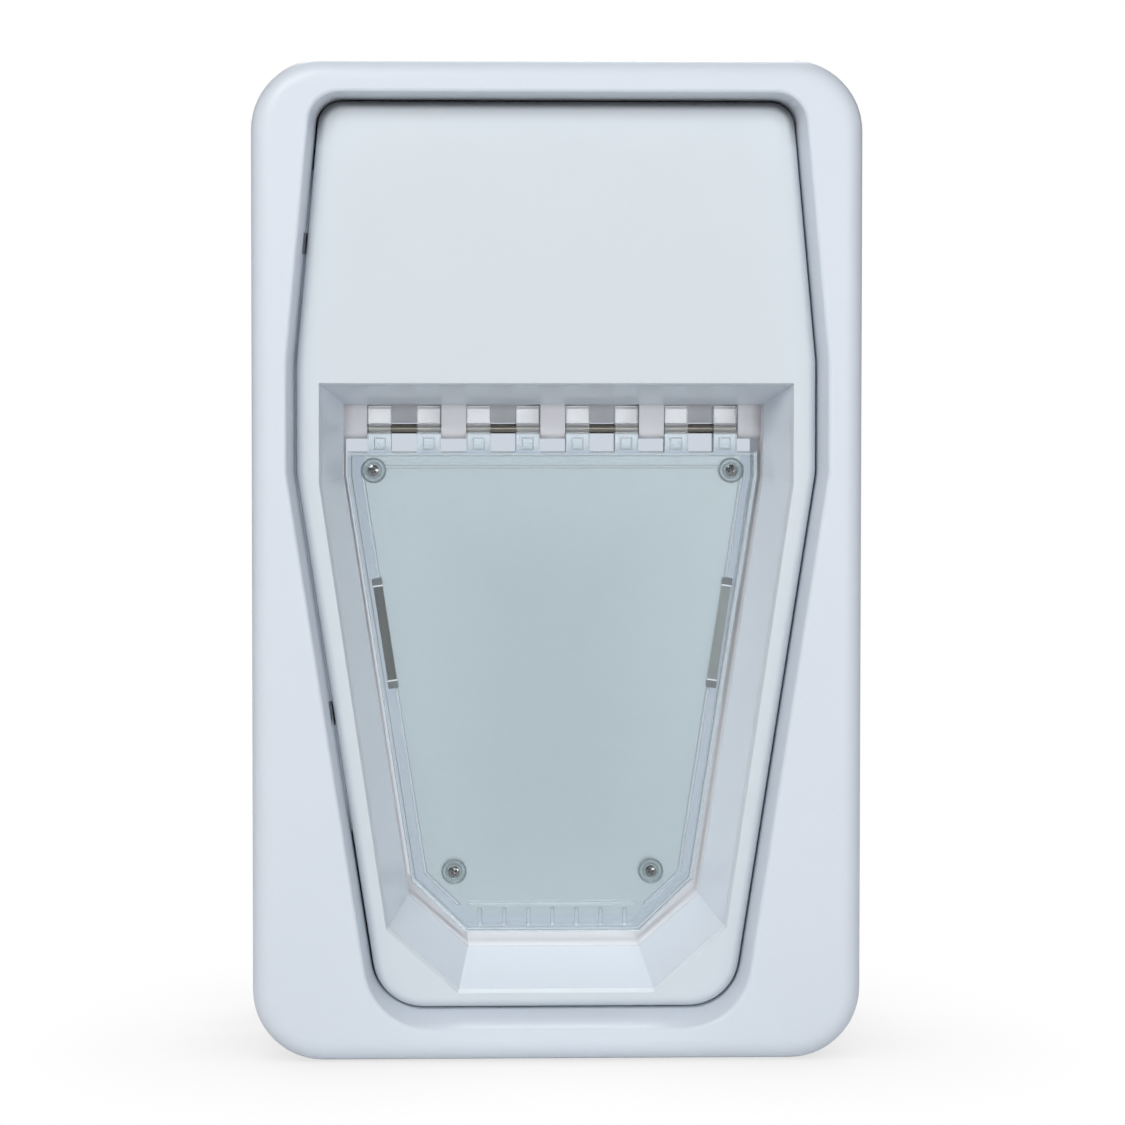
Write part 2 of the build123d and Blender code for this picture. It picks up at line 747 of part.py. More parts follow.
# Lock: a solenoid draws up a fork whose two prongs drop astride a flap lug
bridge_bottom_z = tunnel_top_z + lock_travel + knuckle_side_gap
bridge_top_z = bridge_bottom_z + fork_bridge_t
prong_bottom_z = ceiling_z + prong_lift
solenoid_bottom_z = bridge_top_z + solenoid_gap
with BuildPart() as lock_fork:
    with BuildSketch(Plane.YZ.offset(lock_x)):
        with Locations((pin_y, bridge_bottom_z)):
            Rectangle(2 * (prong_inner + prong_t), fork_bridge_t, align=(Align.CENTER, Align.MIN))
        with Locations(*[(pin_y + side * prong_middle, prong_bottom_z) for side in sides]):
            Rectangle(prong_t, bridge_top_z - prong_bottom_z, align=(Align.CENTER, Align.MIN))
    extrude(amount=prong_w / 2, both=True)
finish(lock_fork.part, "lock_fork")

with BuildPart() as lock_plunger:
    with BuildSketch(Plane.XY.offset(bridge_top_z)):
        with Locations((lock_x, pin_y)):
            Circle(plunger_r)
    extrude(amount=plunger_l)
    chamfer(faces().sort_by(Axis.Z)[-1].edges(), length=plunger_r / 8)
finish(lock_plunger.part, "lock_plunger")

solenoid_half_d = plate_y - pin_y
with BuildPart() as solenoid_frame:
    with BuildSketch(at(plate_y)):
        with Locations((lock_x, solenoid_bottom_z + solenoid_h / 2)):
            Rectangle(solenoid_w, solenoid_h)
            Rectangle(solenoid_w - 2 * solenoid_wall, solenoid_h - 2 * solenoid_wall, mode=Mode.SUBTRACT)
    extrude(amount=2 * solenoid_half_d)
    with BuildSketch(Plane.XY.offset(solenoid_bottom_z)):
        with Locations((lock_x, pin_y)):
            Circle(plunger_r + plunger_fit)
    extrude(amount=solenoid_wall, mode=Mode.SUBTRACT)
finish(solenoid_frame.part, "solenoid_frame")

with BuildPart() as solenoid_coil:
    with BuildSketch(Plane.XY.offset(solenoid_bottom_z + solenoid_wall)):
        with Locations((lock_x, pin_y)):
            Circle(coil_r)
            Circle(plunger_r + coil_clear, mode=Mode.SUBTRACT)
    extrude(amount=solenoid_h - 2 * solenoid_wall)
finish(solenoid_coil.part, "solenoid_coil")

# Reader coil wound round the tunnel
with BuildPart() as reader_coil:
    with BuildSketch(at(tunnel_front_y + reader_setback)):
        outline(tunnel_points, tunnel_wall + reader_gap + reader_t)
        outline(tunnel_points, tunnel_wall + reader_gap, Mode.SUBTRACT)
    extrude(amount=-reader_l)
finish(reader_coil.part, "reader_coil")

# Circuit board with its parts, all facing the cover
board_front_y = board_back_y - board_t
switch_front_y = board_front_y - switch_t
switch_places = [(side * switch_spread / 2, board_z) for side in sides]
lamp_places = [(side * lamp_spread / 2, board_z) for side in sides]

with BuildPart() as circuit_board:
    with BuildSketch(at(board_back_y)):
        with Locations((0, board_z)):
            Rectangle(board_w, board_h)
        with Locations(*board_posts):
            Circle(board_screw_r + screw_clear, mode=Mode.SUBTRACT)
    extrude(amount=board_t)
finish(circuit_board.part, "circuit_board")

with BuildPart() as board_screws:
    with BuildSketch(at(board_front_y)):
        with Locations(*board_posts):
            Circle(board_head_r)
    extrude(amount=board_head_t)
    with BuildSketch(at(board_front_y)):
        with Locations(*board_posts):
            Circle(board_screw_r)
    extrude(amount=-board_screw_l)
finish(board_screws.part, "board_screws")

with BuildPart() as controller_chip:
    with BuildSketch(at(board_front_y)):
        with Locations((0, board_z)):
            Rectangle(chip_w, chip_w)
    extrude(amount=chip_t)
finish(controller_chip.part, "controller_chip")

with BuildPart() as status_lamps:
    with BuildSketch(at(board_front_y)):
        with Locations(*lamp_places):
            Circle(lamp_r)
    extrude(amount=lamp_h)
    fillet(faces().group_by(Axis.Y)[0].edges(), radius=lamp_r / 2)
finish(status_lamps.part, "status_lamps")

with BuildPart() as switch_bodies:
    with BuildSketch(at(board_front_y)):
        with Locations(*switch_places):
            Rectangle(switch_w, switch_w)
    extrude(amount=switch_t)
    with BuildSketch(at(switch_front_y)):
        with Locations(*switch_places):
            Circle(button_stem_r + button_stem_fit)
    extrude(amount=-(button_stem_in + button_travel + button_gap), mode=Mode.SUBTRACT)
finish(switch_bodies.part, "switch_bodies")

for place, name in zip(switch_places, ("mode_button", "learn_button")):
    with BuildPart() as button:
        with BuildSketch(at(switch_front_y - button_travel - button_gap)):
            with Locations(place):
                Circle(button_r)
        extrude(amount=button_t)
        fillet(button.faces().sort_by(Axis.Y)[0].edges(), radius=button_t / 4)
        with BuildSketch(at(switch_front_y - button_travel - button_gap)):
            with Locations(place):
                Circle(button_stem_r)
        extrude(amount=-(button_stem_in + button_travel + button_gap))
    finish(button.part, name)

# Batteries in two rows, end to end, the rows facing opposite ways
for row_z, row_name, nub_side in zip(cell_rows, ("lower", "upper"), sides):
    for side, side_name in zip(sides, ("left", "right")):
        cell_middle_x = side * (cell_l + cell_gap) / 2
        base_x = cell_middle_x - nub_side * cell_l / 2
        with BuildPart() as battery:
            with BuildSketch(Plane.YZ.offset(base_x)):
                with Locations((cell_y, row_z)):
                    Circle(cell_r)
            extrude(amount=nub_side * (cell_l - cell_nub_l))
            fillet(battery.edges().filter_by(GeomType.CIRCLE), radius=cell_edge_r)
            with BuildSketch(Plane.YZ.offset(base_x)):
                with Locations((cell_y, row_z)):
                    Circle(cell_nub_r)
            extrude(amount=nub_side * cell_l)
        finish(battery.part, f"battery_{row_name}_{side_name}")

contact_x = tray_half - contact_t
cone_l = contact_x - cell_l - cell_gap / 2 - cell_gap
with BuildPart() as battery_contacts:
    for side in sides:
        with BuildSketch(Plane.YZ.offset(side * contact_x)):
            with Locations(*[(cell_y, z) for z in cell_rows]):
                Rectangle(contact_w, contact_w)
        extrude(amount=side * contact_t)
        for row_z in cell_rows:
            with BuildSketch(Plane.YZ.offset(side * contact_x)):
                with Locations((cell_y, row_z)):
                    Circle(contact_cone_r)
            with BuildSketch(Plane.YZ.offset(side * (contact_x - cone_l))):
                with Locations((cell_y, row_z)):
                    Circle(contact_cone_tip_r)
            loft()
finish(battery_contacts.part, "battery_contacts")

# Tunnel magnets
for side, name in zip(sides, ("magnet_left", "magnet_right")):
    with BuildPart() as magnet:
        with BuildSketch(at(plate_y)):
            with Locations(Location((side * magnet_x, strip_z, 0), (0, 0, -side * strip_tilt))):
                Rectangle(magnet_t, magnet_l)
        extrude(amount=magnet_w)
    finish(magnet.part, name)

# Rear frame: a shallow moulding whose sleeve reaches through the door to the tunnel
sleeve_inner = tunnel_wall + sleeve_gap
sleeve_outer = sleeve_inner + tunnel_wall
with BuildPart() as rear_frame:
    with BuildSketch(at(rear_y)):
        RectangleRounded(frame_w, frame_h, frame_corner_r)
    extrude(amount=-rear_depth)
    fillet(faces().sort_by(Axis.Y)[-1].edges(), radius=rear_edge_r)
    with BuildSketch(at(rear_y)):
        RectangleRounded(frame_w - 2 * frame_wall, frame_h - 2 * frame_wall, frame_corner_r - frame_wall)
    extrude(amount=-(rear_depth - rear_skin_t), mode=Mode.SUBTRACT)
    with BuildSketch(at(rear_y + seal_t)):
        with Locations(*[(0, z) for z in rib_rows]):
            Rectangle(frame_w - frame_wall, rib_t)
        with Locations(*[(x, 0) for x in rib_columns]):
            Rectangle(rib_t, frame_h - frame_wall)
    extrude(amount=-(rear_depth - rear_skin_t - seal_t))
    with BuildSketch(at(rear_y)):
        with Locations(*mirrored(bolt_places)):
            Circle(bolt_boss_r)
    extrude(amount=-(rear_depth - rear_skin_t))
    with BuildSketch(at(sleeve_front_y)):
        outline(tunnel_points, sleeve_outer)
    extrude(amount=-(back_y - sleeve_front_y))
    with BuildSketch(at(sleeve_front_y)):
        outline(tunnel_points, sleeve_inner)
    extrude(amount=-(back_y - sleeve_front_y), mode=Mode.SUBTRACT)
    rear_lip = rear_frame.faces().sort_by(Axis.Y)[-1].inner_wires()[0].edges()
    fillet(rear_lip, radius=bezel_lip_r)
    with Locations(*[Location((x, back_y, z), (-90, 0, 0)) for x, z in mirrored(bolt_places)]):
        CounterSinkHole(bolt_r + bolt_clear, bolt_head_r + bolt_fit, rear_depth, sink_angle)
finish(rear_frame.part, "rear_frame")


def countersunk_screws(places, head_y, shank_r, head_r, length):
    """Countersunk screws whose heads lie flush at depth head_y and point at the viewer."""
    head_t = (head_r - shank_r) / tan(radians(sink_angle / 2))
    with BuildPart() as screws:
        with BuildSketch(at(head_y)):
            with Locations(*places):
                Circle(shank_r)
        extrude(amount=length)
        for place in places:
            with BuildSketch(at(head_y)):
                with Locations(place):
                    Circle(head_r)
            with BuildSketch(at(head_y - head_t)):
                with Locations(place):
                    Circle(shank_r)
            loft()
    return screws.part


bolt_l = back_y - door_y + bolt_bite
finish(countersunk_screws(mirrored(bolt_places), back_y, bolt_r, bolt_head_r, bolt_l), "through_bolts")
chassis_screws = countersunk_screws(
    chassis_screw_places, door_y, chassis_screw_r, chassis_head_r, plate_t + chassis_screw_l - bolt_clear
)
finish(chassis_screws, "chassis_screws")

# Foam seals that press on the two faces of the door leaf
for seal_y, reach, name in ((door_y, seal_t, "front_seal"), (rear_y, -seal_t, "rear_seal")):
    seal_in = frame_wall + seal_gap
    with BuildPart() as seal:
        with BuildSketch(at(seal_y)):
            RectangleRounded(frame_w - 2 * seal_in, frame_h - 2 * seal_in, frame_corner_r - seal_in)
            hole_in = seal_in + seal_w
            RectangleRounded(
                frame_w - 2 * hole_in,
                frame_h - 2 * hole_in,
                frame_corner_r - hole_in,
                mode=Mode.SUBTRACT,
            )
        extrude(amount=reach)
    finish(seal.part, name)
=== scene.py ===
import math
import random

import bmesh
import bpy
from mathutils import Matrix, Vector


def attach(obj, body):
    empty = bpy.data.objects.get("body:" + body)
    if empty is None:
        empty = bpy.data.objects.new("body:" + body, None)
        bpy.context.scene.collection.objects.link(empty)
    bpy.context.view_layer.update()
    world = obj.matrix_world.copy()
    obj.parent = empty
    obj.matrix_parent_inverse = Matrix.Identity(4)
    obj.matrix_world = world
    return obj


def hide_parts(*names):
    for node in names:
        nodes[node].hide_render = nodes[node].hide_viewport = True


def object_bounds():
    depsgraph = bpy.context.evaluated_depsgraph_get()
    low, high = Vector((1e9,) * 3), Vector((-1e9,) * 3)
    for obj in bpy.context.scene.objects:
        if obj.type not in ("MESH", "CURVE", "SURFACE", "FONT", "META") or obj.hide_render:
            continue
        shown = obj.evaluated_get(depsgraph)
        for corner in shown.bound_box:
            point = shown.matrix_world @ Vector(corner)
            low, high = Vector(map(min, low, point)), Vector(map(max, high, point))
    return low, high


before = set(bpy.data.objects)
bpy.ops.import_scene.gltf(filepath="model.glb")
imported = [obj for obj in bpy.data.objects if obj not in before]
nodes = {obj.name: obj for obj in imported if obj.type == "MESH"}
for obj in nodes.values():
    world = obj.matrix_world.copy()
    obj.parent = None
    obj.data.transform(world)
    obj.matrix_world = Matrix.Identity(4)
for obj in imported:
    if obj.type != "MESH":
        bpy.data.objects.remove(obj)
cadBox = [list(corner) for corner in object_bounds()]
mm = 0.001
print("frame loaded:", len(nodes), "nodes")


# helpers for objects and shader nodes


def link(obj):
    bpy.context.scene.collection.objects.link(obj)
    return obj


def addNode(tree, kind, values=None, **settings):
    node = tree.nodes.new(kind)
    for key, value in settings.items():
        setattr(node, key, value)
    for key, value in (values or {}).items():
        node.inputs[key].default_value = value
    return node


def maths(tree, operation, first, second=None):
    node = addNode(tree, "ShaderNodeMath", operation=operation)
    for place, source in enumerate((first, second)):
        if source is None:
            continue
        if isinstance(source, (int, float)):
            node.inputs[place].default_value = source
        else:
            tree.links.new(source, node.inputs[place])
    return node.outputs[0]


def mapValue(tree, source, low, high, fromLow=0.0, fromHigh=1.0):
    spans = {"From Min": fromLow, "From Max": fromHigh, "To Min": low, "To Max": high}
    node = addNode(tree, "ShaderNodeMapRange", spans)
    tree.links.new(source, node.inputs["Value"])
    return node.outputs["Result"]


def mixColors(tree, factor, low, high):
    node = addNode(tree, "ShaderNodeMix", data_type="RGBA")
    for place, value in ((6, low), (7, high)):  # the colour sockets A and B
        if isinstance(value, tuple):
            node.inputs[place].default_value = (*value, 1.0)
        else:
            tree.links.new(value, node.inputs[place])
    tree.links.new(factor, node.inputs[0])
    return node.outputs[2]


# camera, floor and light

cameraSet = {
    "place": (-0.0517, -1.1550, 0.0606),
    "yaw": 1.44,  # degrees to the right
    "pitch": 1.64,  # degrees down
    "lens": 91.7,
    "sensor": 36.0,
    "shift": (0.0595, -0.0673),
}


def makeCamera(s):
    cam = bpy.data.cameras.new("camera")
    cam.lens = s["lens"]
    cam.sensor_width = s["sensor"]
    cam.sensor_fit = "HORIZONTAL"
    cam.clip_end = 100.0
    cam.dof.use_dof = False
    cam.shift_x, cam.shift_y = s["shift"]
    obj = link(bpy.data.objects.new("camera", cam))
    yaw = Matrix.Rotation(math.radians(-s["yaw"]), 4, "Z")
    pitch = Matrix.Rotation(math.radians(90 - s["pitch"]), 4, "X")
    obj.matrix_world = Matrix.Translation(s["place"]) @ yaw @ pitch
    bpy.context.scene.camera = obj


stageSet = {
    "floorSize": 24.0,
    "floorColor": (0.88, 0.88, 0.88, 1.0),
    "shadeReach": 0.10,
    "shadeDark": 0.72,
}
worldSet = {
    "ambientColor": (0.93, 0.955, 1.0, 1.0),
    "ambient": 0.15,
    "farWhite": (1.0, 1.0, 1.0),
    "backShade": (0.604, 0.651, 0.723),  # a grey patch of painted shade in the backdrop, which only the passage lets through
    "backAcross": (0.0454, 0.086),  # slopes of its middle and half width to straight behind
    "backUp": (-0.078, 0.130),  # and of its middle and half height
    "backSoft": 0.94,  # share of the half size where its soft edge begins
}
lampSet = {
    # degrees to the right of straight ahead, degrees up, distance, size, power, colour
    "keyLamp": (-25.0, 35.0, 2.6, 1.3, 35.0, (1.0, 0.99, 0.975)),
    "fillLamp": (38.0, 16.0, 2.6, 1.2, 8.0, (0.97, 0.985, 1.0)),
    "lowLamp": (2.6, 6.0, 2.8, 0.58, 2.9, (0.99, 0.98, 1.0)),  # its mirror image lies on the lugs only
    "nearLamp": (19.0, 0.0, 2.8, 0.5, 7.4, (0.955, 0.98, 1.0)),  # and this one's beside the flap
    "rearLamp": (180.0, 46.0, 2.8, 1.3, 32.0, (1.0, 1.0, 1.0)),
}


def splitBySight(tree, out, lighting, seen):
    # one shader for what lights the object, and another for what the camera sees, also through the flap
    mix = tree.nodes.new("ShaderNodeMixShader")
    path = tree.nodes.new("ShaderNodeLightPath")
    sight = maths(tree, "MAXIMUM", path.outputs["Is Camera Ray"], path.outputs["Is Transmission Ray"])
    tree.links.new(sight, mix.inputs["Fac"])
    tree.links.new(lighting.outputs[0], mix.inputs[1])
    tree.links.new(seen.outputs[0], mix.inputs[2])
    tree.links.new(mix.outputs[0], out.inputs["Surface"])


def makeStage(s):
    # a floor that lights the object from below and shows only its contact shade
    half = s["floorSize"] / 2
    low = cadBox[0][2]
    mesh = bpy.data.meshes.new("floor")
    corners = [(-half, -half, low), (half, -half, low), (half, half, low), (-half, half, low)]
    mesh.from_pydata(corners, [], [(0, 1, 2, 3)])
    floor = link(bpy.data.objects.new("floor", mesh))
    mat = bpy.data.materials.new("floorWhite")
    mat.use_nodes = True
    tree = mat.node_tree
    tree.nodes.clear()
    out = tree.nodes.new("ShaderNodeOutputMaterial")
    diffuse = addNode(tree, "ShaderNodeBsdfDiffuse", {"Color": s["floorColor"]})
    clear = tree.nodes.new("ShaderNodeBsdfTransparent")
    near = addNode(tree, "ShaderNodeAmbientOcclusion", {"Distance": s["shadeReach"]}, samples=16)
    tree.links.new(mapValue(tree, near.outputs["AO"], s["shadeDark"], 1.0), clear.inputs["Color"])
    splitBySight(tree, out, diffuse, clear)
    mesh.materials.append(mat)


def makeWorld(s):
    world = bpy.data.worlds.new("studio")
    bpy.context.scene.world = world
    world.use_nodes = True
    tree = world.node_tree
    tree.nodes.clear()
    out = tree.nodes.new("ShaderNodeOutputWorld")
    light = {"Color": s["ambientColor"], "Strength": s["ambient"]}
    ambient = addNode(tree, "ShaderNodeBackground", light)
    seen = tree.nodes.new("ShaderNodeBackground")
    coord = addNode(tree, "ShaderNodeTexCoord")
    way = addNode(tree, "ShaderNodeSeparateXYZ")
    tree.links.new(coord.outputs["Generated"], way.inputs[0])
    reach = []
    for axis, (middle, half) in (("X", s["backAcross"]), ("Z", s["backUp"])):
        slope = maths(tree, "DIVIDE", way.outputs[axis], way.outputs["Y"])
        away = maths(tree, "ABSOLUTE", maths(tree, "SUBTRACT", slope, middle))
        reach.append(maths(tree, "DIVIDE", away, half))
    patch = mapValue(tree, maths(tree, "MAXIMUM", *reach), 0.0, 1.0, 1.0, s["backSoft"])
    behind = maths(tree, "GREATER_THAN", way.outputs["Y"], 0.0)
    # the grey patch is painted shade, seen only through the passage
    far = mixColors(tree, maths(tree, "MULTIPLY", patch, behind), s["farWhite"], s["backShade"])
    tree.links.new(far, seen.inputs["Color"])
    splitBySight(tree, out, ambient, seen)


def makeLamps(lamps):
    for name, (side, height, distance, size, power, color) in lamps.items():
        side, height = math.radians(side), math.radians(height)
        level = math.cos(height)
        ahead = Vector((math.sin(side) * level, -math.cos(side) * level, math.sin(height)))
        data = bpy.data.lights.new(name, "AREA")
        data.size = size
        data.energy = power
        data.color = color
        lamp = link(bpy.data.objects.new(name, data))
        lamp.location = ahead * distance
        lamp.rotation_euler = (-ahead).to_track_quat("-Z", "Y").to_euler()


makeCamera(cameraSet)
makeStage(stageSet)
makeWorld(worldSet)
makeLamps(lampSet)
bpy.context.scene.view_settings.view_transform = "Standard"
bpy.context.scene.view_settings.look = "None"
print("camera, floor and light set")


# shader groups that several materials share

floatKind = "NodeSocketFloat"
vectorKind = "NodeSocketVector"
grainSet = {
    "grainScale": 2600.0, "grainDetail": 2.0, "grainRough": 0.6,
    "flowScale": 16.0, "flowDetail": 3.0, "flowRough": 0.5, "flowTwist": 0.6,
    "edgeRadius": 0.0005, "creviceReach": 0.010, "relief": 0.00008,
    "edgeSpan": (0.995, 0.86),  # how far the rounded normal agrees with the true one, from mask 0 to mask 1
    "slopeSpan": (0.30, 0.70),  # the upward part of the normal
    "wallSpan": (0.85, 0.45),  # the forward part of the normal
    "creviceSpan": (0.97, 0.45),  # the open share of what lies round a point
}
brushSet = {
    "stretch": (40.0, 3000.0, 3000.0), "edgeRadius": 0.0002, "lineDetail": 3.0,
    "smudgeScale": 160.0, "smudgeDetail": 2.0, "grain": 0.05, "relief": 0.00005,
}


def newGroup(name, inputs, outputs):
    group = bpy.data.node_groups.new(name, "ShaderNodeTree")
    for socket, kind, value in inputs:
        made = group.interface.new_socket(socket, in_out="INPUT", socket_type=kind)
        made.default_value = value
    for socket, kind in outputs:
        group.interface.new_socket(socket, in_out="OUTPUT", socket_type=kind)
    entry = group.nodes.new("NodeGroupInput")
    leave = group.nodes.new("NodeGroupOutput")
    return group, entry, leave


def makeMouldGrain(s):
    # fine spark-eroded grain with faint flow marks, for moulded plastic, and masks of where a point lies
    group, entry, leave = newGroup(
        "mouldGrain",
        [
            ("Grain Scale", floatKind, s["grainScale"]), ("Flow Scale", floatKind, s["flowScale"]),
            ("Edge Radius", floatKind, s["edgeRadius"]), ("Crevice Reach", floatKind, s["creviceReach"]),
        ],
        [
            ("Height", floatKind), ("Flow", floatKind), ("Crevice", floatKind), ("Slope", floatKind),
            ("Wall", floatKind), ("Edge", floatKind), ("Edge Normal", vectorKind),
        ],
    )
    coord = addNode(group, "ShaderNodeTexCoord")
    grainLook = {"Detail": s["grainDetail"], "Roughness": s["grainRough"]}
    flowLook = {"Detail": s["flowDetail"], "Roughness": s["flowRough"], "Distortion": s["flowTwist"]}
    grain = addNode(group, "ShaderNodeTexNoise", grainLook)
    flow = addNode(group, "ShaderNodeTexNoise", flowLook)
    facing = addNode(group, "ShaderNodeSeparateXYZ")
    shape = addNode(group, "ShaderNodeNewGeometry")
    along = addNode(group, "ShaderNodeVectorMath", operation="DOT_PRODUCT")
    near = addNode(group, "ShaderNodeAmbientOcclusion", samples=6)
    bevel = addNode(group, "ShaderNodeBevel", samples=4)
    wire = group.links.new
    for node in (grain, flow):
        wire(coord.outputs["Object"], node.inputs["Vector"])
    wire(entry.outputs["Grain Scale"], grain.inputs["Scale"])
    wire(entry.outputs["Flow Scale"], flow.inputs["Scale"])
    wire(entry.outputs["Edge Radius"], bevel.inputs["Radius"])
    wire(entry.outputs["Crevice Reach"], near.inputs["Distance"])
    wire(bevel.outputs["Normal"], along.inputs[0])
    wire(shape.outputs["Normal"], along.inputs[1])
    wire(coord.outputs["Normal"], facing.inputs[0])
    readings = {
        "Edge": (along.outputs["Value"], s["edgeSpan"]),
        "Slope": (maths(group, "ABSOLUTE", facing.outputs["Z"]), s["slopeSpan"]),
        "Wall": (maths(group, "ABSOLUTE", facing.outputs["Y"]), s["wallSpan"]),
        "Crevice": (near.outputs["AO"], s["creviceSpan"]),
    }
    for socket, (reading, span) in readings.items():
        wire(mapValue(group, reading, 0.0, 1.0, *span), leave.inputs[socket])
    wire(grain.outputs["Fac"], leave.inputs["Height"])
    wire(flow.outputs["Fac"], leave.inputs["Flow"])
    wire(bevel.outputs["Normal"], leave.inputs["Edge Normal"])
    return group


def makeBrushLines(s):
    # long thin scratches along one axis, for drawn or brushed metal
    group, entry, leave = newGroup(
        "brushLines",
        [("Stretch", vectorKind, s["stretch"]), ("Edge Radius", floatKind, s["edgeRadius"])],
        [("Lines", floatKind), ("Smudge", floatKind), ("Edge Normal", vectorKind)],
    )
    coord = addNode(group, "ShaderNodeTexCoord")
    scale = addNode(group, "ShaderNodeVectorMath", operation="MULTIPLY")
    lines = addNode(group, "ShaderNodeTexNoise", {"Scale": 1.0, "Detail": s["lineDetail"]})
    smudge = addNode(group, "ShaderNodeTexNoise", {"Scale": s["smudgeScale"], "Detail": s["smudgeDetail"]})
    bevel = addNode(group, "ShaderNodeBevel", samples=4)
    wire = group.links.new
    wire(coord.outputs["Object"], scale.inputs[0])
    wire(entry.outputs["Stretch"], scale.inputs[1])
    wire(scale.outputs["Vector"], lines.inputs["Vector"])
    wire(coord.outputs["Object"], smudge.inputs["Vector"])
    wire(entry.outputs["Edge Radius"], bevel.inputs["Radius"])
    wire(lines.outputs["Fac"], leave.inputs["Lines"])
    wire(smudge.outputs["Fac"], leave.inputs["Smudge"])
    wire(bevel.outputs["Normal"], leave.inputs["Edge Normal"])
    return group


def makeFlapField():
    # how far inside the flap's own outline a point lies, in metres, from its X and Z
    group, entry, leave = newGroup(
        "flapField",
        [
            ("Top Z", floatKind, 0.0478), ("Kink Z", floatKind, 0.0310), ("Low Z", floatKind, -0.1316),
            ("Foot Z", floatKind, -0.1513), ("Wide Half", floatKind, 0.0821), ("Low Half", floatKind, 0.0566),
            ("Toe Half", floatKind, 0.0350),
        ],
        [("Inside", floatKind), ("Up", floatKind)],
    )
    wire = group.links.new
    coord = addNode(group, "ShaderNodeTexCoord")
    split = addNode(group, "ShaderNodeSeparateXYZ")
    wire(coord.outputs["Object"], split.inputs[0])
    across = maths(group, "ABSOLUTE", split.outputs["X"])
    up = split.outputs["Z"]
    take = entry.outputs

    def slant(highHalf, highZ, lowHalf, lowZ):
        # distance in from the slanted side between two corners
        run = maths(group, "SUBTRACT", highHalf, lowHalf)
        rise = maths(group, "SUBTRACT", highZ, lowZ)
        lean = maths(group, "DIVIDE", run, rise)
        half = maths(group, "ADD", lowHalf, maths(group, "MULTIPLY", lean, maths(group, "SUBTRACT", up, lowZ)))
        square = maths(group, "SQRT", maths(group, "ADD", 1.0, maths(group, "MULTIPLY", lean, lean)))
        return maths(group, "DIVIDE", maths(group, "SUBTRACT", half, across), square)

    parts = [
        maths(group, "SUBTRACT", take["Wide Half"], across),
        maths(group, "SUBTRACT", take["Top Z"], up),
        maths(group, "SUBTRACT", up, take["Foot Z"]),
        slant(take["Wide Half"], take["Kink Z"], take["Low Half"], take["Low Z"]),
        slant(take["Low Half"], take["Low Z"], take["Toe Half"], take["Foot Z"]),
    ]
    inside = parts[0]
    for part in parts[1:]:
        inside = maths(group, "MINIMUM", inside, part)
    wire(inside, leave.inputs["Inside"])
    wire(up, leave.inputs["Up"])
    return group


def makeBossRings():
    # a disk and its rim round a place given by its distance from the middle and its height
    group, entry, leave = newGroup(
        "bossRings",
        [
            ("Place X", floatKind, 0.07), ("Place Z", floatKind, 0.03), ("Radius", floatKind, 0.0047),
            ("Rim", floatKind, 0.0004),
        ],
        [("Disk", floatKind), ("Ring", floatKind)],
    )
    wire = group.links.new
    coord = addNode(group, "ShaderNodeTexCoord")
    split = addNode(group, "ShaderNodeSeparateXYZ")
    wire(coord.outputs["Object"], split.inputs[0])
    take = entry.outputs
    across = maths(group, "SUBTRACT", maths(group, "ABSOLUTE", split.outputs["X"]), take["Place X"])
    up = maths(group, "SUBTRACT", split.outputs["Z"], take["Place Z"])
    squares = [maths(group, "POWER", part, 2.0) for part in (across, up)]
    away = maths(group, "SQRT", maths(group, "ADD", *squares))
    short = maths(group, "SUBTRACT", take["Radius"], away)
    wire(maths(group, "GREATER_THAN", short, 0.0), leave.inputs["Disk"])
    wire(maths(group, "LESS_THAN", maths(group, "ABSOLUTE", short), take["Rim"]), leave.inputs["Ring"])
    return group


def makeWinding():
    # close turns of wire, striped along one axis
    group, entry, leave = newGroup(
        "windingTurns",
        [
            ("Direction", vectorKind, (0.0, 0.0, 1.0)), ("Turns per Metre", floatKind, 2800.0),
            ("Tone Scale", floatKind, 400.0),
        ],
        [("Turn", floatKind), ("Tone", floatKind)],
    )
    coord = addNode(group, "ShaderNodeTexCoord")
    along = addNode(group, "ShaderNodeVectorMath", operation="DOT_PRODUCT")
    tone = addNode(group, "ShaderNodeTexNoise")
    wire = group.links.new
    wire(coord.outputs["Object"], along.inputs[0])
    wire(entry.outputs["Direction"], along.inputs[1])
    many = maths(group, "MULTIPLY", along.outputs["Value"], entry.outputs["Turns per Metre"])
    wire(coord.outputs["Object"], tone.inputs["Vector"])
    wire(entry.outputs["Tone Scale"], tone.inputs["Scale"])
    wire(maths(group, "PINGPONG", many, 0.5), leave.inputs["Turn"])
    wire(tone.outputs["Fac"], leave.inputs["Tone"])
    return group


mouldGrain = makeMouldGrain(grainSet)
brushLines = makeBrushLines(brushSet)
flapField = makeFlapField()
bossRings = makeBossRings()
windingTurns = makeWinding()
print("shader groups made")


# materials


def newMaterial(name):
    mat = bpy.data.materials.new(name)
    mat.use_nodes = True
    tree = mat.node_tree
    return mat, tree, tree.nodes["Principled BSDF"]


def useGroup(tree, group, values=None):
    node = tree.nodes.new("ShaderNodeGroup")
    node.node_tree = group
    for key, value in (values or {}).items():
        node.inputs[key].default_value = value
    return node


def dimmed(color, share):
    return tuple(value * (1.0 - share) for value in color)


def addBump(tree, shader, height, strength, distance, normal=None):
    bump = addNode(tree, "ShaderNodeBump", {"Strength": strength, "Distance": distance})
    tree.links.new(height, bump.inputs["Height"])
    if normal is not None:
        tree.links.new(normal, bump.inputs["Normal"])
    tree.links.new(bump.outputs["Normal"], shader.inputs["Normal"])


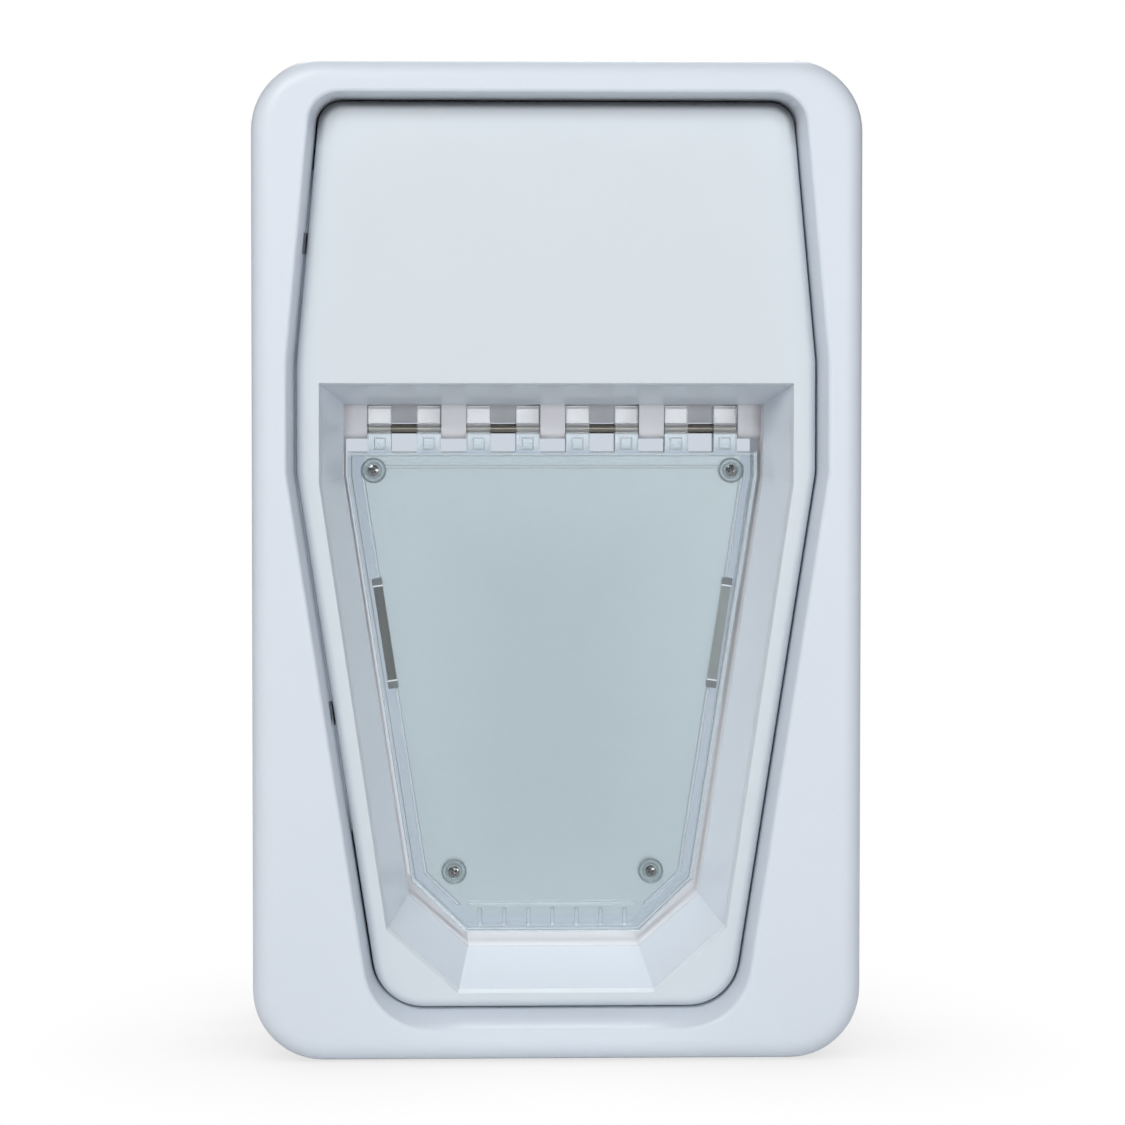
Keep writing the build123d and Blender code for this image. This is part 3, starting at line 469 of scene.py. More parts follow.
plasticSet = {
    # painted shade lies in crevices and on up- and down-facing slopes, both as a share of darkness
    "frameWhite": {
        "low": (0.715, 0.775, 0.850), "high": (0.745, 0.800, 0.872), "rough": (0.34, 0.46), "grain": 0.12,
    },
    "coverWhite": {
        "low": (0.682, 0.740, 0.790), "high": (0.711, 0.764, 0.811), "rough": (0.34, 0.46), "grain": 0.12,
        # painted shade in the cover's crevices, strongest along its top margin
        "creviceShade": 0.85, "creviceShadeUp": (0.160, 0.174), "creviceShadeLeast": 0.12,  # least below these heights, full above
    },
    "mouthWhite": {
        "low": (0.715, 0.775, 0.850), "high": (0.745, 0.800, 0.872), "rough": (0.10, 0.17), "grain": 0.05,
        # painted shade on its up- and down-facing slopes
        "slopeShade": 0.10,
    },
    "innerWhite": {
        "low": (0.830, 0.835, 0.875), "high": (0.855, 0.855, 0.890), "rough": (0.28, 0.40), "grain": 0.10,
        # painted shade in its crevices
        "creviceShade": 0.26, "reach": 0.004,
    },
    "clipGrey": {
        "low": (0.045, 0.055, 0.055), "high": (0.075, 0.085, 0.085), "rough": (0.16, 0.24), "grain": 0.04,
    },
    "lipWhite": {
        "low": (0.86, 0.88, 0.90), "high": (0.92, 0.93, 0.95), "rough": (0.20, 0.30), "grain": 0.04,
    },
    "boardGreen": {
        "low": (0.012, 0.075, 0.030), "high": (0.020, 0.115, 0.045), "rough": (0.25, 0.38), "grain": 0.05,
    },
    "blackPlastic": {
        "low": (0.012, 0.012, 0.014), "high": (0.022, 0.022, 0.025), "rough": (0.42, 0.58), "grain": 0.15,
    },
    "greyPlastic": {
        "low": (0.17, 0.18, 0.20), "high": (0.21, 0.22, 0.24), "rough": (0.38, 0.52), "grain": 0.15,
    },
    "redLens": {
        "low": (0.42, 0.012, 0.008), "high": (0.55, 0.025, 0.015), "rough": (0.08, 0.14), "grain": 0.02,
    },
}


def makePlastic(name, s):
    mat, tree, shader = newMaterial(name)
    group = useGroup(tree, mouldGrain, {"Crevice Reach": s.get("reach", grainSet["creviceReach"])})
    color = mixColors(tree, group.outputs["Flow"], s["low"], s["high"])
    # painted shade in crevices, on the cover strongest near its top
    if "creviceShade" in s:
        crevice = group.outputs["Crevice"]
        if "creviceShadeUp" in s:
            coord = addNode(tree, "ShaderNodeTexCoord")
            split = addNode(tree, "ShaderNodeSeparateXYZ")
            tree.links.new(coord.outputs["Object"], split.inputs[0])
            upper = mapValue(tree, split.outputs["Z"], s["creviceShadeLeast"], 1.0, *s["creviceShadeUp"])
            crevice = maths(tree, "MULTIPLY", crevice, upper)
        color = mixColors(tree, crevice, color, dimmed(s["low"], s["creviceShade"]))
    # painted shade on up- and down-facing slopes
    if "slopeShade" in s:
        color = mixColors(tree, group.outputs["Slope"], color, dimmed(s["low"], s["slopeShade"]))
    tree.links.new(color, shader.inputs["Base Color"])
    tree.links.new(mapValue(tree, group.outputs["Height"], *s["rough"]), shader.inputs["Roughness"])
    edge = group.outputs["Edge Normal"]
    addBump(tree, shader, group.outputs["Height"], s["grain"], grainSet["relief"], edge)
    return mat


metalSet = {
    # low and high colour, roughness, and how the brush lines are stretched
    "pinSteel": ((0.17, 0.16, 0.14), (0.26, 0.245, 0.215), (0.06, 0.14), (30.0, 4000.0, 4000.0)),
    "paleSteel": ((0.125, 0.137, 0.127), (0.18, 0.192, 0.180), (0.30, 0.48), (2500.0, 2500.0, 60.0)),
    "darkSteel": ((0.010, 0.013, 0.009), (0.022, 0.026, 0.019), (0.30, 0.48), (2500.0, 2500.0, 60.0)),
    "screwSteel": ((0.20, 0.21, 0.215), (0.30, 0.31, 0.315), (0.14, 0.26), (900.0, 900.0, 900.0)),
    "zincSteel": ((0.50, 0.51, 0.52), (0.66, 0.66, 0.67), (0.24, 0.42), (900.0, 900.0, 900.0)),
    "magnetMetal": ((0.30, 0.30, 0.31), (0.42, 0.42, 0.43), (0.22, 0.36), (1200.0, 1200.0, 1200.0)),
}


def makeMetal(name, low, high, rough, stretch):
    mat, tree, shader = newMaterial(name)
    group = useGroup(tree, brushLines, {"Stretch": stretch})
    color = mixColors(tree, group.outputs["Smudge"], low, high)
    tree.links.new(color, shader.inputs["Base Color"])
    tree.links.new(mapValue(tree, group.outputs["Lines"], *rough), shader.inputs["Roughness"])
    edge = group.outputs["Edge Normal"]
    addBump(tree, shader, group.outputs["Lines"], brushSet["grain"], brushSet["relief"], edge)
    shader.inputs["Metallic"].default_value = 1.0
    return mat


clearSet = {
    "clearTint": (0.775, 0.822, 0.855),
    "rimTint": (0.738, 0.796, 0.812),  # the hazy field near its edge
    "midTint": (0.712, 0.771, 0.782),  # and at its middle
    "midReach": 0.055,
    "wallTint": (0.34, 0.42, 0.46),
    "lugLow": (0.79, 0.835, 0.86),  # the thick clear lugs under and over the pin, and their side walls
    # over the pin the lugs are lighter: a painted highlight
    "lugTopHighlight": (0.98, 0.995, 1.0),
    "lugWall": (0.66, 0.74, 0.78),
    "lugUp": (0.0418, 0.0420),  # heights between which the lugs begin
    "overUp": (0.0490, 0.0530),  # and between which they pass the pin
    "edgeHighlight": (0.86, 0.91, 0.93),  # painted highlight on the edges, and painted shade on the edges in the lugs
    "lugEdgeShade": (0.30, 0.36, 0.38),
    "bossTint": (0.62, 0.68, 0.69),
    "ringTint": (0.44, 0.50, 0.52),
    "clearRough": 0.03,
    "fieldRough": 0.18,
    "haze": 0.06,
    "ior": 1.49,
    "shade": 0.08,  # how much light the flap keeps back
    "fieldStart": 0.0066,  # the hazy field begins this far in from the edge
    "fieldSoft": 0.0006,
    "grainScale": 1800.0,
    "flowScale": 30.0,
    "edgeRadius": 0.0006,
    "grain": 0.02,
    "relief": 0.00005,
    "bosses": ((0.0717, 0.0343), (0.0396, -0.1270)),
    "bossRadii": (0.0047, 0.0029),
}


def makeClearPlastic(s):
    mat, tree, shader = newMaterial("clearPlastic")
    field = useGroup(tree, flapField)
    look = {"Grain Scale": s["grainScale"], "Flow Scale": s["flowScale"], "Edge Radius": s["edgeRadius"]}
    group = useGroup(tree, mouldGrain, look)
    start = s["fieldStart"]
    mask = mapValue(tree, field.outputs["Inside"], 0.0, 1.0, start, start + s["fieldSoft"])
    deep = mapValue(tree, field.outputs["Inside"], 0.0, 1.0, start, s["midReach"])
    color = mixColors(tree, mask, s["clearTint"], mixColors(tree, deep, s["rimTint"], s["midTint"]))
    for placeX, placeZ in s["bosses"]:
        for radius in s["bossRadii"]:
            rings = useGroup(tree, bossRings, {"Place X": placeX, "Place Z": placeZ, "Radius": radius})
            color = mixColors(tree, rings.outputs["Disk"], color, s["bossTint"])
            color = mixColors(tree, rings.outputs["Ring"], color, s["ringTint"])
    lug = mapValue(tree, field.outputs["Up"], 0.0, 1.0, *s["lugUp"])
    over = mapValue(tree, field.outputs["Up"], 0.0, 1.0, *s["overUp"])
    # a painted highlight makes the lugs lighter over the pin
    color = mixColors(tree, lug, color, mixColors(tree, over, s["lugLow"], s["lugTopHighlight"]))
    wall = mixColors(tree, lug, s["wallTint"], s["lugWall"])
    # painted highlight on edges, painted shade on the lugs' edges
    edge = mixColors(tree, lug, s["edgeHighlight"], s["lugEdgeShade"])
    color = mixColors(tree, group.outputs["Edge"], color, edge)
    color = mixColors(tree, group.outputs["Wall"], color, wall)
    tree.links.new(color, shader.inputs["Base Color"])
    tree.links.new(mapValue(tree, mask, s["clearRough"], s["fieldRough"]), shader.inputs["Roughness"])
    addBump(tree, shader, group.outputs["Height"], s["grain"], s["relief"], group.outputs["Edge Normal"])
    shader.inputs["Transmission Weight"].default_value = 1.0 - s["haze"]
    shader.inputs["IOR"].default_value = s["ior"]
    path = tree.nodes.new("ShaderNodeLightPath")  # light falls through the flap, a little dimmed
    tree.links.new(mapValue(tree, path.outputs["Is Shadow Ray"], 1.0, s["shade"]), shader.inputs["Alpha"])
    return mat


copperSet = {
    "low": (0.16, 0.045, 0.015), "high": (0.62, 0.27, 0.12), "rough": (0.22, 0.40), "metal": 0.85,
    "grain": 0.8, "relief": 0.0001,
    # each coil's axis, and its turns per metre
    "coils": {"readerCopper": ((0.0, 1.0, 0.0), 2600.0), "coilCopper": ((0.0, 0.0, 1.0), 3000.0)},
}


def makeCopper(name, direction, turns, s):
    mat, tree, shader = newMaterial(name)
    group = useGroup(tree, windingTurns, {"Direction": direction, "Turns per Metre": turns})
    # each turn runs from dark at its edges to lighter at its middle: painted shade between the turns
    color = mixColors(tree, group.outputs["Turn"], s["low"], s["high"])
    tree.links.new(color, shader.inputs["Base Color"])
    tree.links.new(mapValue(tree, group.outputs["Tone"], *s["rough"]), shader.inputs["Roughness"])
    addBump(tree, shader, group.outputs["Turn"], s["grain"], s["relief"])
    shader.inputs["Metallic"].default_value = s["metal"]
    return mat


foamSet = {
    "low": (0.008, 0.008, 0.009), "high": (0.035, 0.035, 0.038), "rough": (0.75, 0.95),
    "cells": 1400.0, "cellSpan": (0.0, 0.6), "grain": 0.6, "relief": 0.0002,
}


def makeFoam(s):
    mat, tree, shader = newMaterial("foamRubber")
    coord = addNode(tree, "ShaderNodeTexCoord")
    cells = addNode(tree, "ShaderNodeTexVoronoi", {"Scale": s["cells"]})
    tree.links.new(coord.outputs["Object"], cells.inputs["Vector"])
    away = cells.outputs["Distance"]
    # the pits round each cell's point are darker: painted shade in the pores
    color = mixColors(tree, mapValue(tree, away, 0.0, 1.0, *s["cellSpan"]), s["low"], s["high"])
    tree.links.new(color, shader.inputs["Base Color"])
    tree.links.new(mapValue(tree, away, *s["rough"]), shader.inputs["Roughness"])
    addBump(tree, shader, away, s["grain"], s["relief"])
    return mat


wrapSet = {
    "low": (0.035, 0.060, 0.085), "high": (0.050, 0.080, 0.110), "endColor": (0.56, 0.56, 0.56),
    "endSpan": (0.55, 0.75),  # the sideways part of the normal, from the wrap to the bare steel ends
    "rough": (0.20, 0.30), "grainScale": 900.0, "edgeRadius": 0.0003, "grain": 0.03, "relief": 0.00005,
}


def makeCellWrap(s):
    mat, tree, shader = newMaterial("cellWrap")
    group = useGroup(tree, mouldGrain, {"Grain Scale": s["grainScale"], "Edge Radius": s["edgeRadius"]})
    coord = addNode(tree, "ShaderNodeTexCoord")
    facing = addNode(tree, "ShaderNodeSeparateXYZ")
    tree.links.new(coord.outputs["Normal"], facing.inputs[0])
    end = mapValue(tree, maths(tree, "ABSOLUTE", facing.outputs["X"]), 0.0, 1.0, *s["endSpan"])
    wrap = mixColors(tree, group.outputs["Flow"], s["low"], s["high"])
    tree.links.new(mixColors(tree, end, wrap, s["endColor"]), shader.inputs["Base Color"])
    tree.links.new(end, shader.inputs["Metallic"])
    tree.links.new(mapValue(tree, group.outputs["Height"], *s["rough"]), shader.inputs["Roughness"])
    addBump(tree, shader, group.outputs["Height"], s["grain"], s["relief"], group.outputs["Edge Normal"])
    return mat


finishes = {
    "clearPlastic": makeClearPlastic(clearSet),
    "cellWrap": makeCellWrap(wrapSet),
    "foamRubber": makeFoam(foamSet),
}
for name, values in plasticSet.items():
    finishes[name] = makePlastic(name, values)
for name, values in metalSet.items():
    finishes[name] = makeMetal(name, *values)
for name, (direction, turns) in copperSet["coils"].items():
    finishes[name] = makeCopper(name, direction, turns, copperSet)

finishNodes = {
    "frameWhite": ("front_frame", "rear_frame"),
    "coverWhite": ("front_cover",),
    "mouthWhite": ("mouth_funnel",),
    "innerWhite": ("chassis", "tunnel"),
    "clearPlastic": ("flap_front_shell", "flap_rear_shell"),
    "clipGrey": ("strip_clips",),
    "pinSteel": ("hinge_pin",),
    "darkSteel": ("strip_left",),
    "paleSteel": ("strip_right",),
    "zincSteel": (
        "flap_screws", "board_screws", "chassis_screws", "through_bolts", "pin_clips", "battery_contacts",
        "solenoid_frame", "lock_plunger",
    ),
    "magnetMetal": ("magnet_left", "magnet_right"),
    "boardGreen": ("circuit_board",),
    "blackPlastic": ("controller_chip", "switch_bodies"),
    "redLens": ("status_lamps",),
    "greyPlastic": ("lock_fork", "mode_button", "learn_button"),
    "cellWrap": ("battery_lower_left", "battery_lower_right", "battery_upper_left", "battery_upper_right"),
    "readerCopper": ("reader_coil",),
    "coilCopper": ("solenoid_coil",),
    "foamRubber": ("front_seal", "rear_seal"),
}
for finish, names in finishNodes.items():
    for name in names:
        for place in nodes[name].material_slots:
            place.material = finishes[finish]
print("materials set on", sum(len(names) for names in finishNodes.values()), "nodes")


# pieces built in mesh code, in the places of plainer nodes or on them

sharpAngle = 35.0  # degrees between two faces, above which the edge stays sharp


def makePiece(name, verts, faces, finish, body, slotName, replaced=()):
    mesh = bpy.data.meshes.new(name)
    mesh.from_pydata([tuple(vert) for vert in verts], [], faces)
    form = bmesh.new()
    form.from_mesh(mesh)
    bmesh.ops.recalc_face_normals(form, faces=form.faces)
    form.to_mesh(mesh)
    form.free()
    mesh.shade_smooth()
    mesh.set_sharp_from_angle(angle=math.radians(sharpAngle))
    mesh.materials.append(finishes[finish])
    obj = link(bpy.data.objects.new(name, mesh))
    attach(obj, body)
    if replaced:
        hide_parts(*replaced)


def fullTurn(steps):
    return [2 * math.pi * step / steps for step in range(steps)]


def joinRings(rings, first, last):
    # faces between rings of equal length, closed by a point at each end
    verts = [first]
    faces = []
    count = len(rings[0])
    for ring in rings:
        verts.extend(ring)
    verts.append(last)
    for step in range(count):
        following = (step + 1) % count
        faces.append((0, 1 + step, 1 + following))
        for row in range(len(rings) - 1):
            low = 1 + row * count
            high = low + count
            faces.append((low + step, high + step, high + following, low + following))
        low = 1 + (len(rings) - 1) * count
        faces.append((low + following, low + step, len(verts) - 1))
    return verts, faces


def gather(forms):
    verts, faces = [], []
    for points, sides in forms:
        offset = len(verts)
        verts.extend(tuple(point) for point in points)
        faces.extend(tuple(offset + place for place in face) for face in sides)
    return verts, faces


def makeTube(points, radius, steps):
    # a round wire along points; its two ends are closed
    rings = []
    turns = fullTurn(steps)
    for place, point in enumerate(points):
        before, after = points[max(place - 1, 0)], points[min(place + 1, len(points) - 1)]
        way = (after - before).normalized()
        side = way.cross(Vector((1, 0, 0))).normalized()
        rise = way.cross(side).normalized()
        rings.append([point + radius * (math.cos(turn) * side + math.sin(turn) * rise) for turn in turns])
    return joinRings(rings, points[0], points[-1])


def makeSlab(low, high, corner, chamfer, axis=1, cornerSteps=4):
    # a block with rounded corners round one axis and small chamfers at its two ends
    flat = [place for place in range(3) if place != axis]
    middle = [(low[place] + high[place]) / 2 for place in flat]
    half = [(high[place] - low[place]) / 2 for place in flat]

    def ring(level, inset):
        points = []
        for quarter, (signA, signB) in enumerate(((1, 1), (-1, 1), (-1, -1), (1, -1))):
            for step in range(cornerSteps + 1):
                turn = math.pi / 2 * (quarter + step / cornerSteps)
                point = [0.0, 0.0, 0.0]
                point[axis] = level
                point[flat[0]] = middle[0] + signA * (half[0] - corner) + (corner - inset) * math.cos(turn)
                point[flat[1]] = middle[1] + signB * (half[1] - corner) + (corner - inset) * math.sin(turn)
                points.append(tuple(point))
        return points

    start, end = low[axis], high[axis]
    rings = [ring(start, chamfer), ring(start + chamfer, 0), ring(end - chamfer, 0), ring(end, chamfer)]
    ends = []
    for level in (start, end):
        point = [0.0, 0.0, 0.0]
        point[axis], point[flat[0]], point[flat[1]] = level, middle[0], middle[1]
        ends.append(tuple(point))
    return joinRings(rings, *ends)


# screws with a cross recess and a real thread

screwShape = {
    # shares, each of the size that its note names
    "recess": ((1.0, 0.30), (0.75, 0.72)),  # of the recess's depth and its arms, from the foot up
    "rimStart": 1.08,  # of the recess's arms
    "rimRings": (0.0, 0.35, 0.7, 1.0),  # of the way from there to the head's edge
    "rimEnd": 0.985,  # of the head's radius
    "rimBevel": 0.04 * mm,  # on the head's edge
    "turnRings": 4,  # rings in each turn of the thread
    "cut": 0.36,  # of the shank's radius
    "plainTip": 2.2,  # of the shank's radius
    "cone": (0.8, 0.55),  # of the shank's radius: the way up from the tip, and the radius there
    "point": (0.02 * mm, 0.12),  # the same two, the first as a length
}


def crossAngles(halfLength, halfWidth):
    # angles of one ring, with two close together at each corner of the cross
    corner = math.atan2(halfWidth, halfLength)
    quarter = math.pi / 4
    between = corner + (quarter - corner) * 0.5
    half = [0.0, corner * 0.5, corner * 0.98, corner * 1.02, between, quarter]
    sector = half + [math.pi / 2 - angle for angle in reversed(half[1:-1])]
    return [turn * math.pi / 2 + angle for turn in range(4) for angle in sector]


def crossRadius(angle, halfLength, halfWidth, least=1e-6):
    across, up = max(abs(math.cos(angle)), least), max(abs(math.sin(angle)), least)
    flat = min(halfLength / across, halfWidth / up)
    tall = min(halfWidth / across, halfLength / up)
    return max(flat, tall)


def screwRings(s, shape):
    # rings of (depth below the head's top, radius), from the recess outwards and down to the tip
    angles = crossAngles(s["crossLength"], s["crossWidth"])
    arms = [crossRadius(angle, s["crossLength"], s["crossWidth"]) for angle in angles]
    head, shank, pitch = s["headRadius"], s["shankRadius"], s["pitch"]

    def domeDepth(radius):
        return s["crown"] * (radius / head) ** 2

    rings = [[(s["crossDepth"] * down, arm * wide) for arm in arms] for down, wide in shape["recess"]]
    rings.append([(domeDepth(arm), arm) for arm in arms])
    levels = []  # round rings, as depth and radius
    start = s["crossLength"] * shape["rimStart"]
    for share in shape["rimRings"]:
        radius = start + (head * shape["rimEnd"] - start) * share
        levels.append((domeDepth(radius), radius))
    levels.append((s["crown"] + shape["rimBevel"], head))
    if not s["sunk"]:
        levels.append((s["headHeight"] - shape["rimBevel"], head))
        levels.append((s["headHeight"], head * shape["rimEnd"]))
    levels.append((s["headHeight"], shank))
    levels.append((s["threadStart"], shank))
    rings.extend([level] * len(angles) for level in levels)
    depth = s["threadStart"]
    while depth < s["length"] - shape["plainTip"] * shank:
        depth += pitch / shape["turnRings"]
        ring = []
        for angle in angles:
            phase = (depth / pitch + angle / (2 * math.pi)) % 1.0
            ring.append((depth, shank * (1.0 - shape["cut"] * (1.0 - abs(2 * phase - 1.0)))))
        rings.append(ring)
    (coneLength, coneWide), (pointLength, pointWide) = shape["cone"], shape["point"]
    rings.append([(s["length"] - coneLength * shank, shank * coneWide)] * len(angles))
    rings.append([(s["length"] - pointLength, shank * pointWide)] * len(angles))
    return angles, rings


def makeScrews(name, s):
    angles, rings = screwRings(s, screwShape)
    forms = []
    for placeX, placeZ in s["places"]:
        turned = random.uniform(0.0, math.pi)

        def at(depth, radius, angle):
            x = placeX + radius * math.cos(angle + turned)
            z = placeZ + radius * math.sin(angle + turned)
            return x, s["headY"] + s["way"] * depth, z

        solid = [[at(depth, radius, angle) for (depth, radius), angle in zip(ring, angles)] for ring in rings]
        forms.append(joinRings(solid, at(s["crossDepth"], 0.0, 0.0), at(s["length"], 0.0, 0.0)))
    makePiece(name, *gather(forms), s["finish"], s["body"], s["slot"], [s["standsFor"]])


def mirrored(places):
    return [(side * placeX * mm, placeZ * mm) for placeX, placeZ in places for side in (-1, 1)]


random.seed(7)
flapScrewSet = {
    "places": mirrored([(71.7, 34.3), (39.6, -127.0)]), "headY": -8.94 * mm, "way": 1,
    "headRadius": 2.28 * mm, "headHeight": 1.24 * mm, "crown": 0.35 * mm, "sunk": False,
    "crossLength": 1.35 * mm, "crossWidth": 0.34 * mm, "crossDepth": 0.95 * mm,
    "shankRadius": 1.18 * mm, "threadStart": 1.4 * mm, "pitch": 0.55 * mm, "length": 5.75 * mm,
    "finish": "screwSteel", "body": "flap", "slot": "polished_steel", "standsFor": "flap_screws",
}
boardScrewSet = {
    "places": mirrored([(74.0, 75.9), (74.0, 92.9)]), "headY": -26.28 * mm, "way": 1,
    "headRadius": 2.18 * mm, "headHeight": 1.17 * mm, "crown": 0.35 * mm, "sunk": False,
    "crossLength": 1.25 * mm, "crossWidth": 0.32 * mm, "crossDepth": 0.9 * mm,
    "shankRadius": 1.08 * mm, "threadStart": 2.0 * mm, "pitch": 0.55 * mm, "length": 9.1 * mm,
    "finish": "zincSteel", "body": "frame", "slot": "zinc_steel", "standsFor": "board_screws",
}
chassisScrewSet = {
    "places": mirrored([(79.20, -130.04), (93.11, -39.86), (104.55, 54.95), (97.82, 150.16)]),
    "headY": 4.98 * mm, "way": -1,
    "headRadius": 2.38 * mm, "headHeight": 1.32 * mm, "crown": 0.06 * mm, "sunk": True,
    "crossLength": 1.45 * mm, "crossWidth": 0.34 * mm, "crossDepth": 1.0 * mm,
    "shankRadius": 1.22 * mm, "threadStart": 3.0 * mm, "pitch": 0.6 * mm, "length": 14.1 * mm,
    "finish": "zincSteel", "body": "frame", "slot": "zinc_steel", "standsFor": "chassis_screws",
}
boltSet = {
    "places": mirrored([(100.0, 171.0), (100.0, -171.0)]), "headY": 54.98 * mm, "way": -1,
    "headRadius": 4.17 * mm, "headHeight": 2.55 * mm, "crown": 0.10 * mm, "sunk": True,
    "crossLength": 2.5 * mm, "crossWidth": 0.55 * mm, "crossDepth": 1.8 * mm,
    "shankRadius": 1.97 * mm, "threadStart": 38.0 * mm, "pitch": 0.8 * mm, "length": 64.9 * mm,
    "finish": "zincSteel", "body": "frame", "slot": "zinc_steel", "standsFor": "through_bolts",
}
makeScrews("flapScrews", flapScrewSet)
makeScrews("boardScrews", boardScrewSet)
makeScrews("chassisScrews", chassisScrewSet)
makeScrews("throughBolts", boltSet)
print("screws made")


# the strips' clips and the seam rib

clipSet = {
    # the left clips' places, and the way from each to its strip
    "clips": ((70.30 * mm, -10.44 * mm, 1), (63.99 * mm, -51.56 * mm, -1)),
    "run": (0.1516, -0.9884),  # the way down the left strip
    # low corner, high corner, corner radius and chamfer
    "block": ((-2.05 * mm, -7.05 * mm, -1.60 * mm), (2.05 * mm, -2.95 * mm, 1.60 * mm), 0.5 * mm, 0.25 * mm),
    "lip": ((-1.95 * mm, -7.12 * mm, 1.30 * mm), (1.95 * mm, -6.55 * mm, 1.85 * mm), 0.12 * mm, 0.05 * mm),
}


def makeStripClips(s):
    # the four clips on the strips' ends, each with a pale lip on its inner end
    runX, runZ = s["run"]

    def placed(block):
        forms = []
        points, sides = makeSlab(*block)
        for clipX, clipZ, way in s["clips"]:
            for side in (-1, 1):
                turned = []
                for across, y, along in points:
                    x = -clipX - runZ * across + runX * along * way
                    z = clipZ + runX * across + runZ * along * way
                    turned.append((-side * x, y, z))
                forms.append((turned, sides))
        return gather(forms)

    makePiece("stripClips", *placed(s["block"]), "clipGrey", "flap", "white_plastic", ["strip_clips"])
    makePiece("clipLips", *placed(s["lip"]), "lipWhite", "flap", "white_plastic")


seamSet = {
    # all in mm; the outline gives the cover's half width at each height
    "outline": ((178.0, 91.7), (77.3, 101.0), (34.3, 101.0), (-174.4, 68.8)),
    "runs": ((152.0, 127.17), (118.97, -54.90), (-64.30, -106.0)),  # heights, between the pry notches
    "spacing": 4.0,
    "gap": 0.75, "overlap": 0.03,  # from the cover to the frame's wall, and the rib's hold in that wall
    "clear": 0.15, "bevel": 0.08,
    "front": -38.9, "back": -35.9,
    "fade": 11.0, "sunk": 2.6,  # the front falls back by this much over this length at the two ends
}


def makeSeamRib(s):
    # a shallow rib on the frame that closes the foot of the left seam and fades out at its two ends
    high, low = s["runs"][0][0], s["runs"][-1][1]

    def halfAt(z):
        for (upperZ, upperX), (lowerZ, lowerX) in zip(s["outline"], s["outline"][1:]):
            if z >= lowerZ:
                return lowerX + (upperX - lowerX) * (z - lowerZ) / (upperZ - lowerZ)
        return s["outline"][-1][1]

    def sectionAt(z):
        fade = max(0.0, 1.0 - min(high - z, z - low) / s["fade"])
        front, back, bevel = s["front"] + s["sunk"] * fade, s["back"], s["bevel"]
        inner, outer = halfAt(z) + s["clear"], halfAt(z) + s["gap"] + s["overlap"]
        section = ((outer, front), (inner + bevel, front), (inner, front + bevel), (inner, back), (outer, back))
        return [(-x * mm, y * mm, z * mm) for x, y in section]

    def middleOf(ring):
        return tuple(sum(point[axis] for point in ring) / len(ring) for axis in range(3))

    forms = []
    for start, end in s["runs"]:
        kinks = {z for z, half in s["outline"] if end < z < start}
        count = max(2, int((start - end) / s["spacing"]))
        even = {start + (end - start) * step / count for step in range(count + 1)}
        rings = [sectionAt(z) for z in sorted(even | kinks, reverse=True)]
        forms.append(joinRings(rings, middleOf(rings[0]), middleOf(rings[-1])))
    makePiece("seamRib", *gather(forms), "frameWhite", "frame", "white_plastic")


makeStripClips(clipSet)
makeSeamRib(seamSet)
print("strip clips and seam rib made")


# the battery tray's contacts

contactSet = {
    "plateX": 64.52 * mm, "plateOut": 65.08 * mm, "half": 10.9 * mm, "middleY": -17.4 * mm,
    "corner": 1.6 * mm, "chamfer": 0.12 * mm,
    "rows": ((116.2 * mm, -1), (151.2 * mm, 1)),  # each row's height and its button end's side
    "dish": ((6.6, 64.50), (6.0, 63.2), (5.2, 62.4), (4.4, 62.02), (1.5, 61.98)),  # radius and X, in mm
    "dishSteps": 32,
    "wire": 0.40 * mm, "wireSteps": 10, "turns": 3.25, "turnSteps": 28,
    "wide": 7.4 * mm, "narrow": 3.6 * mm, "tipX": 62.40 * mm,
    "lift": 0.02 * mm,  # from the plate to the wire
    "flatShare": 0.12,  # of the spring's length lies flat on the plate
}


def makeButton(s, rowZ):
    turns = fullTurn(s["dishSteps"])
    middleY, rings = s["middleY"], []
    for radius, x in s["dish"]:
        ring = []
        for turn in turns:
            ring.append((x * mm, middleY + radius * mm * math.cos(turn), rowZ + radius * mm * math.sin(turn)))
        rings.append(ring)
    first, last = s["dish"][0][1] * mm, s["dish"][-1][1] * mm
    return joinRings(rings, (first, middleY, rowZ), (last, middleY, rowZ))


def makeSpring(s, rowZ):
    points = []
    count = int(s["turns"] * s["turnSteps"])
    for step in range(count + 1):
        share = step / count
        turn = 2 * math.pi * s["turns"] * share
        radius = s["wide"] + (s["narrow"] - s["wide"]) * share
        x = s["plateX"] - s["wire"] - s["lift"]
        x += (s["tipX"] - x) * max(0.0, share - s["flatShare"]) / (1.0 - s["flatShare"])
        points.append(Vector((x, s["middleY"] + radius * math.cos(turn), rowZ + radius * math.sin(turn))))
    return makeTube(points, s["wire"], s["wireSteps"])


def makeContacts(s):
    # a plate at each end of each row of cells, with a dished button or a conical spring
    forms = []
    for rowZ, buttonSide in s["rows"]:
        low = (s["plateX"], s["middleY"] - s["half"], rowZ - s["half"])
        high = (s["plateOut"], s["middleY"] + s["half"], rowZ + s["half"])
        for side in (-1, 1):
            touch = makeButton(s, rowZ) if side == buttonSide else makeSpring(s, rowZ)
            for points, sides in (makeSlab(low, high, s["corner"], s["chamfer"], axis=0), touch):
                forms.append(([(side * x, y, z) for x, y, z in points], sides))
    makePiece("batteryContacts", *gather(forms), "zincSteel", "frame", "zinc_steel", ["battery_contacts"])


makeContacts(contactSet)
print("battery contacts made")


# small parts on the circuit board

